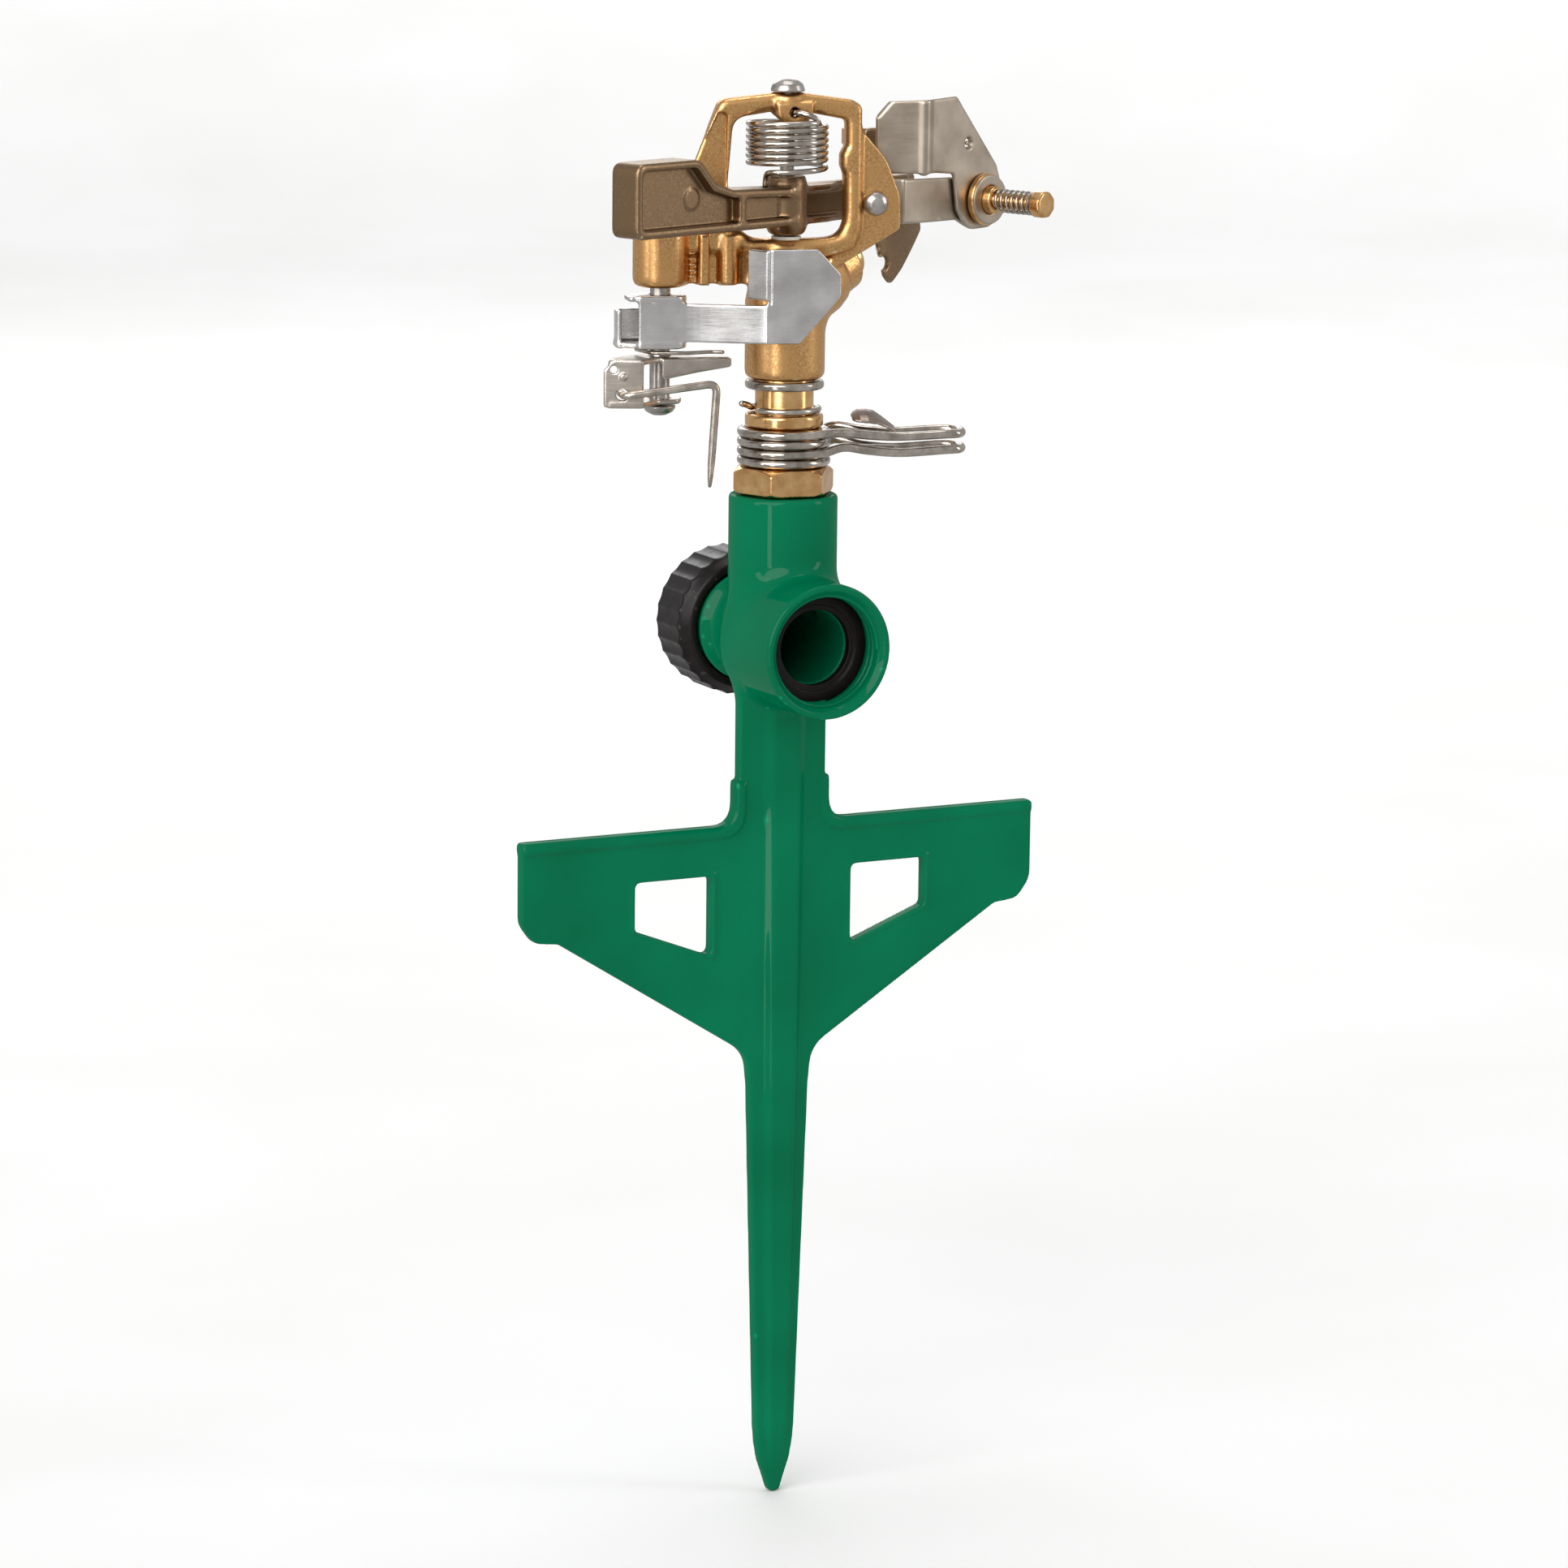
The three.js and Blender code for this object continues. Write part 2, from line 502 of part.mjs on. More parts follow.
function headBody() {
  const post = turned([
    [0, skirt.bottom], [skirt.r - 1.6, skirt.bottom], [skirt.r - 0.4, skirt.bottom + 0.6],
    [skirt.r, skirt.bottom + 2], [skirt.r, 128], [skirt.r - 1, 133], [7, 138], [4, 141.5], [0, 141.5],
  ], 20);
  const quadrant = outline([
    [10, 136, 0], [14.4, 137.1, 0], [27.9, 145.3, 1.6], [27.7, 153.4, 8], [24.3, 162, 12],
    [17, 170.4, 1], [14, 160, 0], [15, 146, 0],
  ]);
  const web = plate(quadrant, -1.1, 1.3);
  const rootWeb = plate(outline([
    [-9, 139, 0], [10, 139, 0], [16, 141.4, 0], [16, 143, 0], [-9, 142.6, 0],
  ]), -2.4, 2.4);
  const topLug = plate(outline([
    [-3.4, 176, 0], [-3, 172.3, 2], [-0.9, 170.2, 2], [3.6, 170.2, 2], [5.6, 173, 2], [5.8, 176, 0],
  ]), -4.2, -1.2, { soft: 0.5 });
  const topBoss = rod(3.6, 172.6, 177.4, 10);
  const lugPost = turned([
    [0, lug.bottom], [lug.r - 1.4, lug.bottom], [lug.r - 0.4, lug.bottom + 0.5], [lug.r, lug.bottom + 1.8],
    [lug.r, lug.top - 1], [lug.r - 1, lug.top], [0, lug.top],
  ], 16).translate([lug.x, 0, 0]);
  const bridgeWeb = plate(outline([
    [lug.x, 132.6, 0], [-6, 132.2, 0], [-6, 142.8, 0], [-14, 144.8, 0], [lug.x, 144.8, 0],
  ]), -1.1, 1.1);
  const pillar = rod(2.3, 132.2, 144.6, 12).translate([-14.4, -1.8, 0]);
  const rib = plate(outline([
    [-21.9, 132.3, 0], [-19.3, 132.3, 0], [-19.5, 144.6, 0], [-21.7, 144.6, 0],
  ]), -4.6, 4.6, { soft: 0.5 });
  const rivetBoss = plate(outline([
    [rivet.x - 3.4, rivet.z - 3.4, 3], [rivet.x + 3.4, rivet.z - 3.4, 3],
    [rivet.x + 3.4, rivet.z + 3.4, 3], [rivet.x - 3.4, rivet.z + 3.4, 3],
  ]), -1.2, 1.6);
  const stop = plate(outline([[15, 164.8, 0], [17.4, 164.8, 0], [17.4, 169, 0], [15, 169, 0]]), 0, 9.5);
  const whole = union(
    post, noseBarrel(), bridgeLoop(), web, rootWeb, topLug, topBoss, lugPost, bridgeWeb,
    rib, pillar, rivetBoss, stop,
  );
  const stemHole = rod(stem.r + gap, skirt.bottom - 1, stem.top + gap, 16);
  const riserBore = rod(stem.bore, stem.top, barrel.rootZ + 1, 14);
  const pinHole = rod(pin.r + gap, 138.5, 190, 10);
  const shaftHole = rod(shaft.r + gap, lug.bottom - 1, shaft.top + gap, 12).translate([lug.x, 0, 0]);
  const tailHole = rod(1.2, -6, 2.4, 12).rotate([90, 0, 0]).translate([1.1, 0, 173.6]);
  const rivetHole = rod(rivet.r + gap, -6, 6, 10).rotate([90, 0, 0]).translate([rivet.x, 0, rivet.z]);
  return cut(
    whole, stemHole, riserBore, pinHole, shaftHole, tailHole, rivetHole,
    alongNozzle(rod(barrel.bore, -1, barrel.length + 1, 14)),
  );
}
piece(head, "head_body", headBody(), "brass");

const nozzle = turned([
  [1.9, 13], [3.2, 13], [barrel.bore - gap, 14.4], [barrel.bore - gap, barrel.length + gap],
  [5.4, barrel.length + gap], [5.4, barrel.length + 2.2], [4.8, barrel.length + 3],
  [2.9, barrel.length + 3], [1.9, barrel.length + 1.6],
], 14);
piece(head, "nozzle_tip", alongNozzle(nozzle), "turnedBrass");

piece(head, "fulcrum_pin", turned([
  [0, 139], [pin.r, 139], [pin.r, pin.headZ], [pin.headR, pin.headZ], [pin.headR, pin.headZ + 0.5],
  [pin.headR * 0.9, pin.headZ + 1.7], [pin.headR * 0.62, pin.top - 0.45], [pin.headR * 0.3, pin.top],
  [0, pin.top],
], 14), "steel");
piece(head, "trip_shaft", turned([
  [0, shaft.bottom], [shaft.headR * 0.45, shaft.bottom + 0.2], [shaft.headR * 0.85, shaft.bottom + 1],
  [shaft.headR, shaft.bottom + 2], [shaft.headR, shaft.bottom + 2.6], [shaft.r, shaft.bottom + 2.7],
  [shaft.r, shaft.top], [0, shaft.top],
], 14).translate([lug.x, 0, 0]), "steel");

// ---------------------------------------------------------------- arm
// Local X runs along the stream: the spoon is at +X, the counterweight at -X.
function armBody() {
  const half = 4.5;
  const silhouette = [
    [-56, 146.5, 2.2], [-56, 164.3, 2.4], [-34.6, 164.3, 3.5], [-29, 158.4, 3], [-23, 156.4, 2],
    [0, 155.6, 0], [0, 146.5, 0],
  ];
  const weight = plate(outline(silhouette), -half, half, { soft: 0.9 });
  const pocket = (y0, y1) => [
    plate(outline([
      [-54.3, 148.4, 1.6], [-54.3, 162.5, 1.6], [-35.4, 162.5, 2.6], [-29.8, 156.6, 2.6],
      [-23, 154.6, 1], [-20.8, 154.5, 1], [-20.8, 148.4, 1],
    ]), y0, y1),
    plate(outline([[-18.8, 148.4, 1], [-18.8, 154.3, 1], [0, 153.6, 0], [0, 148.4, 0]]), y0, y1),
  ];
  const boss = turned([
    [0, hub.bottom], [hub.r - 1.2, hub.bottom], [hub.r, hub.bottom + 1.6], [hub.r, 156.6],
    [hub.r - 0.5, hub.top], [0, hub.top],
  ], 16);
  const mark = rod(2.4, -half + 0.4, half - 0.4, 12).rotate([90, 0, 0]).translate([-35, 0, 154.8]);
  const weightCut = cut(weight, ...pocket(-9, -2.6), ...pocket(2.6, 9));
  const weightThinMark = mark.intersect(plate(outline([
    [-40, 150, 0], [-30, 150, 0], [-30, 160, 0], [-40, 160, 0],
  ]), -2.85, 2.85));
  // The beam from the hub to the spoon: a channel that turns into a thin web behind the bridge's leg.
  const beam = plate(outline([
    [0, 146.6, 0], [33, 146.6, 0], [36, 148, 0], [36, 154, 0], [30, 156.2, 2], [0, 155.6, 0],
  ]), -1.2, 1.2);
  const flanges = [[146.5, 148.2], [154, 155.7]].map(([low, high]) => column(outline([
    [0, -4, 0], [12, -3.4, 1], [19, -1.1, 1], [33, -1.1, 0], [33, 3.2, 0], [14, 4, 2], [0, 4, 0],
  ]), low, high));
  // The spoon: a curved vane that hangs in the stream, with a turned-back edge.
  const vaneRows = [
    [155.6, 33.4, 46], [148, 33.2, 48.6], [143, 32.9, 49.8], [141, 33.4, 49.5],
    [135, 35.6, 43.4], [130.6, 37.6, 39.2],
  ];
  const vane = lofted(vaneRows.map(([z, x0, x1]) => {
    const front = [];
    const back = [];
    for (let i = 0; i <= 4; i += 1) {
      const share = i / 4;
      const x = x0 + (x1 - x0) * share;
      const y = -1.8 + 3 * share ** 1.6;
      front.push([x, y - 0.7, z]);
      back.unshift([x, y + 0.7, z]);
    }
    return [...front, ...back];
  }));
  const brace = plate(outline([
    [24, 155, 0], [36, 155, 0], [33, 168, 1], [27.4, 168, 1],
  ]), -1.2, 1.2, { soft: 0.3 });
  const spoonTop = column(outline([
    [31, -2.8, 0], [33.4, -2.8, 0.6], [42, -1.8, 1], [46.6, 1.9, 1], [40, 3.2, 1], [31, 2.6, 0],
  ]), 154.4, 156);
  const spoonHole = rod(1.1, -12, 12, 14).rotate([90, 0, 0]).translate([37.2, 0, 134.4]);
  const whole = union(
    weightCut, weightThinMark, boss, beam, ...flanges, cut(vane, spoonHole), brace, spoonTop,
  );
  const springHook = rod(1.1, 150, 160, 12).translate([-7.6, 0, 0]);
  return cut(whole, rod(pin.r + gap, 140, 160, 10), springHook);
}
piece(stream, "arm", armBody(), "bronze");
piece(head, "hub_washer", ring(pin.r + gap, 3.6, 142.9, hub.bottom - gap, 10), "nylon");

// The arm's return spring: a close-wound torsion coil with a tail up to the bridge and one down to the arm.
function armSpring() {
  const points = [];
  const steps = 8;
  const total = spring.turns * steps;
  const downAngle = 180 + streamTurn;
  const hook = (r, z, turn = downAngle) => [r * Math.cos(turn * degree), r * Math.sin(turn * degree), z];
  points.push(hook(7.6, 157.6));
  points.push(hook(7.9, 159.4));
  points.push(hook(8.8, spring.low - 0.2, downAngle + 12));
  for (let i = 1; i <= total; i += 1) {
    const angle = (downAngle + 12 + (i * 360) / steps) * degree;
    const share = i / total;
    const z = spring.low + (spring.top - spring.low) * share;
    points.push([spring.r * Math.cos(angle), spring.r * Math.sin(angle), z]);
  }
  return wire(smooth(points), spring.wire, total + 4, 4);
}
piece(head, "arm_spring", armSpring(), "springSteel");

// ---------------------------------------------------------------- trip mechanism
const t = sheetThickness;

// A sheet bent along a line in plan: [x, y] points, given thickness on both sides.
function bentSheet(points, low, high, thickness = t) {
  const left = [];
  const right = [];
  points.forEach(([x, y], i) => {
    const [px, py] = points[Math.max(i - 1, 0)];
    const [nx, ny] = points[Math.min(i + 1, points.length - 1)];
    const length = Math.hypot(nx - px, ny - py);
    const [ox, oy] = [(-(ny - py) / length) * (thickness / 2), ((nx - px) / length) * (thickness / 2)];
    left.push([x + ox, y + oy]);
    right.unshift([x - ox, y - oy]);
  });
  return column(outline([...left, ...right]), low, high);
}

function reversingLever() {
  const wall = bentSheet([[-36, -5.6], [-35.2, -6.4], [-26.6, -6.4], [-24.6, -6.4]], 117.6, 130);
  const flange = (z) => column(outline([
    [-37.4, -6.9, 1], [-25.4, -6.9, 1], [-24.6, -2, 1], [-26, 4.4, 3], [-35, 4.4, 3], [-37.6, 0, 1],
  ]), z, z + t);
  const eye = rod(shaft.r + gap, 110, 135, 12).translate([lug.x, 0, 0]);
  const side = bentSheet([[-36.4, -6.4], [-38.4, -4], [-41.4, -3.4]], 117.6, 126.4);
  const shelf = column(outline([
    [-41.6, -4, 1.4], [-36, -6.9, 0], [-33, -6.9, 0], [-33, 3, 0], [-41.6, 1.5, 1.4],
  ]), 117.6, 117.6 + t);
  const arm = bentSheet([[-25.4, -6.4], [-22, -7], [-8, -11.6], [-5, -12.2], [11.3, -12.2]], 110, 150);
  const cheek = plate(outline([
    [-30, 119, 0], [1.3, 119, 1], [11.3, 130.4, 1], [11.1, 135.8, 1], [5.6, 141.7, 1],
    [-6.4, 141.7, 0.6], [-6.4, 128.3, 1], [-30, 128.3, 0],
  ]), -30, 10);
  const lip = column(outline([
    [-6.9, -12.8, 0], [-5.6, -12.8, 0], [-9.6, -8.4, 0], [-10.9, -8.4, 0],
  ]), 129.5, 141.4);
  return cut(union(wall, flange(117.6), flange(130 - t), side, shelf, arm.intersect(cheek), lip), eye);
}
piece(head, "reversing_lever", reversingLever(), "stainless");

function tripBracket() {
  const leaf = (z, end) => column(outline([
    [-44.6, -9.4, 1], [-36.6, -10.6, 1], [-31.6, -5.2, 3], ...end, [-27, 4.2, 3], [-33.5, 4.8, 3],
    [-43, -3.4, 1],
  ]), z, z + t);
  const top = leaf(114, [[-24, -5, 3], [-14.4, -5.4, 1.4], [-14.4, -1.8, 1.4], [-23, -0.6, 3]]);
  const bottom = leaf(103.8, [[-26.4, -4.2, 2], [-25.2, 0, 2]]);
  const ear = bentSheet([[-45, -8.8], [-36.6, -10.4]], 103.8, 114 + t);
  const eye = rod(shaft.r + gap, 100, 118, 16).translate([lug.x, 0, 0]);
  const wireHole = rod(1.4, -20, 20, 12).rotate([90, 0, 0]).translate([-41.2, 0, 107]);
  const rib = bentSheet([[-30, -5.6], [-24, -5.4], [-14.6, -5.4]], 110.4, 114.4, 1);
  return union(cut(union(top, bottom, ear), eye, wireHole), rib);
}
piece(head, "trip_bracket", tripBracket(), "stainless");

// The trip wire: hooked through the bracket's ear, across the front of the shaft and down to the collars.
function tripWire() {
  return wire(bentPath([
    [-41.2, -6.6, 107], [-41.2, -13.2, 107], [-18.8, -13.2, 109.9], [-20.4, -13.2, 84.4],
  ], 2.6), 2, 22, 8);
}
piece(head, "trip_wire", tripWire(), "springSteel");

// The over-centre spring that snaps the lever across as the bracket turns.
function toggleSpring() {
  return wire(bentPath([
    [-36, 2.2, 116.4], [-33.4, -4.4, 116.3], [-25, -5.8, 116.3], [-19, -3.4, 116.3], [-16, -4.4, 116.3],
  ], 2.4), 1, 18, 5);
}
piece(head, "toggle_spring", toggleSpring(), "springSteel");

// ---------------------------------------------------------------- deflector and diffuser screw
const cosS = Math.cos(streamTurn * degree);
const sinS = Math.sin(streamTurn * degree);
// From the bridge's frame to the stream's frame, in plan.
const toStream = (x, y) => [x * cosS + y * sinS, -x * sinS + y * cosS];

function deflectorStrap() {
  const near = toStream(rivet.x - 3.4, 2.3);
  const under = toStream(rivet.x + 4.4, 2.3);
  const y = strap.y + 1;
  const run = [near, under, [24.5, y + 0.4], [27, y], [52, y], [62, y]];
  const sheet = bentSheet(run, 140, 162);
  const edge = plate(outline([
    [near[0], 146.4, 5.4], [30, 146, 0], [43.4, 145.9, 2], [48, 143.6, 5], [55.4, 144.2, 5],
    [58.6, 150.6, 6], [55, 157.2, 5], [44, 156.4, 2], [near[0], 157.2, 5.4],
  ]), -40, 5);
  const rivetHole = rod(rivet.r + gap, -14, 14, 14).rotate([90, 0, 0]).rotate([0, 0, -streamTurn])
    .translate([...toStream(rivet.x, 2.3), rivet.z]);
  const bushHole = rod(3.3, -40, 0, 12).rotate([90, 0, 0]).translate([strap.end, -30, strap.endZ]);
  const screwHole = rod(3.3, -9, 9, 12).rotate([90, 0, 0]).translate([strap.end, strap.y, strap.endZ]);
  return cut(sheet.intersect(edge), rivetHole, bushHole, screwHole);
}
piece(stream, "deflector_strap", deflectorStrap(), "stainless");

function deflectorFlag() {
  const front = strap.y - 0.6;
  const run = [
    [22.2, -9.4], [28.2, -15.6], [29.4, -17.2], [30.6, front - 0.35], [32, front - 0.1],
    [33.6, front], [62, front],
  ];
  const sheet = bentSheet(run, 140, 180);
  const face = plate(outline([
    [17.6, 158, 0], [17.6, 171.8, 0], [22, 171.8, 0], [24.2, 175.5, 0.6], [29.6, 175.8, 0.6],
    [41.2, 176.2, 1.2], [56.4, 158.8, 2], [59.2, 151.4, 5], [55.6, 143.6, 5], [46, 143.4, 5],
    [42, 148.4, 2], [40.6, 157.4, 1.5], [34, 158, 1],
  ]), -40, 5);
  const hole = rod(3.3, -9, 9, 12).rotate([90, 0, 0]).translate([strap.end, strap.y, strap.endZ]);
  const dimple = rod(1.1, -0.6, 0.6, 10).rotate([90, 0, 0]).translate([45.7, front - 0.75, 164.6]);
  return cut(sheet.intersect(face), hole, dimple);
}
piece(stream, "deflector_flag", deflectorFlag(), "stainless");

const acrossScrew = (made) => made.rotate([90, 0, 0]).translate([strap.end, 0, strap.endZ]);
function diffuserBush() {
  const flange = -strap.y + 1.2 + gap;
  const back = -strap.y - 1.4;
  return acrossScrew(turned([
    [screw.r + gap, back - 1.6], [5.2, back - 1.6], [5.2, back - 0.6], [3, back - 0.6],
    [3, flange], [6, flange], [6.3, flange + 0.3], [6.3, flange + 1.6], [6, flange + 1.9],
    [3.4, flange + 1.9],
    [3.3, flange + 4.2], [2.9, flange + 4.6], [screw.r + gap, flange + 4.6],
  ], 16));
}
piece(stream, "diffuser_bush", diffuserBush(), "turnedBrass");

function diffuserScrew() {
  const head0 = -screw.headY;
  return acrossScrew(turned([
    [0, -screw.tipY], [1, -screw.tipY], [screw.r, -screw.tipY + 1.6], [screw.r, head0 - 3.4],
    [screw.headR, head0 - 3.4], [screw.headR, head0 - 0.5], [screw.headR - 0.5, head0], [0, head0],
  ], 14));
}
piece(stream, "diffuser_screw", diffuserScrew(), "turnedBrass");

const springStart = -strap.y + 1.2 + gap + 4.6;
const springEnd = -screw.headY - 3.4;
piece(stream, "screw_washer", acrossScrew(
  ring(screw.r + gap, 2.9, springEnd - 1, springEnd - gap, 10),
), "steel");
function diffuserSpring() {
  const coils = 5;
  const [low, high] = [springStart + 0.8, springEnd - 1.8];
  const points = [];
  for (let i = 0; i <= coils * 8; i += 1) {
    const angle = (i * 45) * degree;
    const y = low + ((high - low) * i) / (coils * 8);
    points.push([2.65 * Math.cos(angle), 2.65 * Math.sin(angle), y]);
  }
  return acrossScrew(wire(smooth(points), 0.7, coils * 8, 4));
}
piece(stream, "diffuser_spring", diffuserSpring(), "springSteel");

// The rivet that carries the deflector on the bridge's quadrant plate.
piece(head, "deflector_rivet", turned([
  [0, -3.9], [2.6, -3.9], [2.6, -3.1 - gap], [rivet.r, -3.1 - gap], [rivet.r, 1.2 + gap],
  [rivet.headR, 1.2 + gap],
  [rivet.headR, 1.9], [rivet.headR * 0.86, 2.8], [rivet.headR * 0.5, 3.5], [0, 3.7],
], 14).rotate([90, 0, 0]).translate([rivet.x, 0, rivet.z]), "steel");

export default model;
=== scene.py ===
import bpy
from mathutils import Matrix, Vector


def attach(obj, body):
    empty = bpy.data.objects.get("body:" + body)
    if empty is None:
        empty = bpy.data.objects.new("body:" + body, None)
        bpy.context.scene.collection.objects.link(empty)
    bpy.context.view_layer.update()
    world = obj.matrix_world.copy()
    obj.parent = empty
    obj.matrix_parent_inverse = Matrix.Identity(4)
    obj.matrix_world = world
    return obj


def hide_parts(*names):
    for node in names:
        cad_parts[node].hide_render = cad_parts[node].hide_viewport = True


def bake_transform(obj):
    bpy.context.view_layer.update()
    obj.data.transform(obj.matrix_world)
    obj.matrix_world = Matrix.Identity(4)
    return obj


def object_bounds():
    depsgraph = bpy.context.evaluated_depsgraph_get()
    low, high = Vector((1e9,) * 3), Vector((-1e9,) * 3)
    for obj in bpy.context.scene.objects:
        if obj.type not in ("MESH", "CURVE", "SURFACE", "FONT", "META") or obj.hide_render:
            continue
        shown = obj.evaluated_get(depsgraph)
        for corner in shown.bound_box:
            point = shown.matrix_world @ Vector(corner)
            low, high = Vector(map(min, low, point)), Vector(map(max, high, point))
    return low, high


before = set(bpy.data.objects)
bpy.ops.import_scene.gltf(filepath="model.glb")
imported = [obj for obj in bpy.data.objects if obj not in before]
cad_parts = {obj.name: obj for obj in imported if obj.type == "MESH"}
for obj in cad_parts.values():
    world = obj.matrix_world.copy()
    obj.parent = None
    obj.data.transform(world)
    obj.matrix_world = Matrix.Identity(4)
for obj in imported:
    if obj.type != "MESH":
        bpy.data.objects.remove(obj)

import copy
import math

import bmesh
import bpy
import numpy as np
from mathutils import Matrix, Vector

# Looks of the impact sprinkler. Shapes are worked out in millimetres and made into meshes in metres.
# Castings, machined and sheet pieces are solids sampled as distance fields, so their edges and inner
# corners are rounded as on the real piece. Turned pieces take their outline from the CAD node.
MM = 0.001
cad_low, cad_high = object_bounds()

HEAD_TURN = -16.0  # degrees from the wings' plane to the bridge's plane
STREAM_TURN = 37.0  # degrees from the bridge's plane to the nozzle and the arm
STREAM = HEAD_TURN + STREAM_TURN
NOZZLE_RISE = 25.0
NOZZLE_ROOT = 127.0  # height at which the nozzle's line leaves the turning axis
COLLAR_WIRE = 2.2
UP = (0, 0, 1)
BACK = (0, 1, 0)
FRONT = (0, -1, 0)

# The base: heights from the steps' tops, the tee's sizes along its own axis, which runs to the back.
SPIKE_TIP = cad_low.z / MM
WING = cad_high.x / MM
PLATE = 3.2
NECK = 12.2  # half the neck's width
TUBE = 13.25  # the riser's radius
TEE = 46.1  # height of the hose inlet's axis
INLET = -26.2
OUTLET = 28.4
SOCKET = 13.7  # radius inside the inlet's thread
SEAT = -15.8
WATERWAY = 9.0

# The head, in the bridge's plane: the trip shaft, the deflector's rivet, the bridge.
LUG = -30.6
RIVET = (21.6, 151.5)
BRIDGE = 15.9
ROOF = 176.2
FLOOR = 140.2
SHAFT_HOLE = 2.75
RIVET_HOLE = 1.9
PIN_HOLE = 2.0
WIRE_PIVOT = (-41.2, 107)
WIRE_BEND = np.linspace(0, 1, 7)
SHEET = 1.2

# The deflector, in the stream's plane.
STRAP_Y = -17.0
BUSH = (51.2, 150.7)
BUSH_HOLE = 3.3


# ---------------------------------------------------------------- shapes in the plane
def bend(enter, here, leave, shares):
    """A curve from enter to leave that is pulled towards the corner here."""
    return [(1 - t) ** 2 * enter + 2 * t * (1 - t) * here + t * t * leave for t in shares]


def outline(corners, arc_steps=5):
    """The corners [x, y, radius] of a closed outline, each rounded by an arc where it has a radius."""
    points = []
    count = len(corners)
    for i, corner in enumerate(corners):
        x, y, radius = (*corner, 0)[:3]
        here = np.array([x, y], float)
        back = np.array(corners[i - 1][:2], float) - here
        ahead = np.array(corners[(i + 1) % count][:2], float) - here
        reach_back, reach_ahead = np.linalg.norm(back), np.linalg.norm(ahead)
        back, ahead = back / reach_back, ahead / reach_ahead
        half = math.acos(max(-1.0, min(1.0, float(back @ ahead)))) / 2
        reach = min(radius / math.tan(half), reach_back * 0.49, reach_ahead * 0.49)
        if reach < 1e-4:
            points.append(here)
            continue
        shares = [k / arc_steps for k in range(arc_steps + 1)]
        points += bend(here + back * reach, here, here + ahead * reach, shares)
    return np.array(points)


def bent_line(points, radius, shares, most=0.49):
    """Straight runs joined by bends of one radius, each taking at most a share of a run."""
    p = np.asarray(points, float)
    made = [p[0]]
    for k in range(1, len(p) - 1):
        back, ahead = p[k - 1] - p[k], p[k + 1] - p[k]
        run_back, run_ahead = np.linalg.norm(back), np.linalg.norm(ahead)
        reach = min(radius, run_back * most, run_ahead * most)
        made += bend(p[k] + back / run_back * reach, p[k], p[k] + ahead / run_ahead * reach, shares)
    return np.array([*made, p[-1]])


def rotated(x, y, turn):
    a = math.radians(turn)
    return x * math.cos(a) - y * math.sin(a), x * math.sin(a) + y * math.cos(a)


def path_distance(points, u, v):
    """Distance to an open line of points."""
    nearest = np.float32(1e12)
    for (ax, ay), (bx, by) in zip(points[:-1], points[1:]):
        ex, ey = bx - ax, by - ay
        wx, wy = u - ax, v - ay
        share = np.clip((wx * ex + wy * ey) / max(ex * ex + ey * ey, 1e-12), 0, 1)
        nearest = np.minimum(nearest, (wx - ex * share) ** 2 + (wy - ey * share) ** 2)
    return np.sqrt(nearest).astype(np.float32)


def polygon_distance(points, u, v):
    """Signed distance to a closed outline, negative inside."""
    inside = False
    for (ax, ay), (bx, by) in zip(points, np.roll(points, -1, 0)):
        if abs(by - ay) > 1e-9:
            inside = inside ^ (((ay > v) != (by > v)) & (u < (bx - ax) * (v - ay) / (by - ay) + ax))
    distance = path_distance(np.vstack([points, points[:1]]), u, v)
    return np.where(inside, -distance, distance)


# ---------------------------------------------------------------- solids as distance fields
class Block:
    """A box of space round a CAD node, sampled every step millimetres, in a frame turned about Z."""

    def __init__(self, node, step, turn=0.0):
        corners = np.array([v.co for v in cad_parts[node].data.vertices]) / MM
        a = math.radians(-turn)
        flat = corners[:, :2] @ np.array([[math.cos(a), math.sin(a)], [-math.sin(a), math.cos(a)]])
        corners = np.c_[flat, corners[:, 2]]
        self.low, self.high = corners.min(0), corners.max(0)
        spans = [
            np.arange(low - 3 * step, high + 4 * step, step, dtype=np.float32)
            for low, high in zip(self.low, self.high)
        ]
        self.x, self.y, self.z = np.meshgrid(*spans, indexing="ij", sparse=True)
        self.start = np.array([span[0] for span in spans])
        self.step = step
        self.turn = turn
        self.shape = tuple(len(span) for span in spans)

    def window(self, **limits):
        """The same samples within limits in x, y or z; place is where they are in the whole."""
        part = copy.copy(self)
        part.place = [slice(None)] * 3
        for name, (low, high) in limits.items():
            axis = "xyz".index(name)
            span = getattr(self, name).ravel()
            kept = slice(int(np.searchsorted(span, low)), int(np.searchsorted(span, high)))
            part.place[axis] = kept
            shape = [1, 1, 1]
            shape[axis] = -1
            setattr(part, name, span[kept].reshape(shape))
        part.place = tuple(part.place)
        return part


def raised(flat, along, low, high, soft=0.0):
    """A flat shape given thickness from low to high, with edges rounded by soft."""
    across = np.abs(along - (low + high) / 2) - (high - low) / 2 + soft
    inner = flat + soft
    outside = np.hypot(np.maximum(inner, 0), np.maximum(across, 0))
    return np.minimum(np.maximum(inner, across), 0) + outside - soft


def join(first, second, fillet=0.0):
    """Both solids as one, with a fillet where they meet."""
    if fillet <= 0:
        return np.minimum(first, second)
    share = np.maximum(fillet - np.abs(first - second), 0) / fillet
    return np.minimum(first, second) - share * share * fillet / 4


def carve(solid, tool, edge=0.0):
    """The solid without the tool, with the new edges rounded."""
    return -join(-solid, tool, edge)


def common(first, second, edge=0.0):
    """What both solids share."""
    return -join(-first, -second, edge)


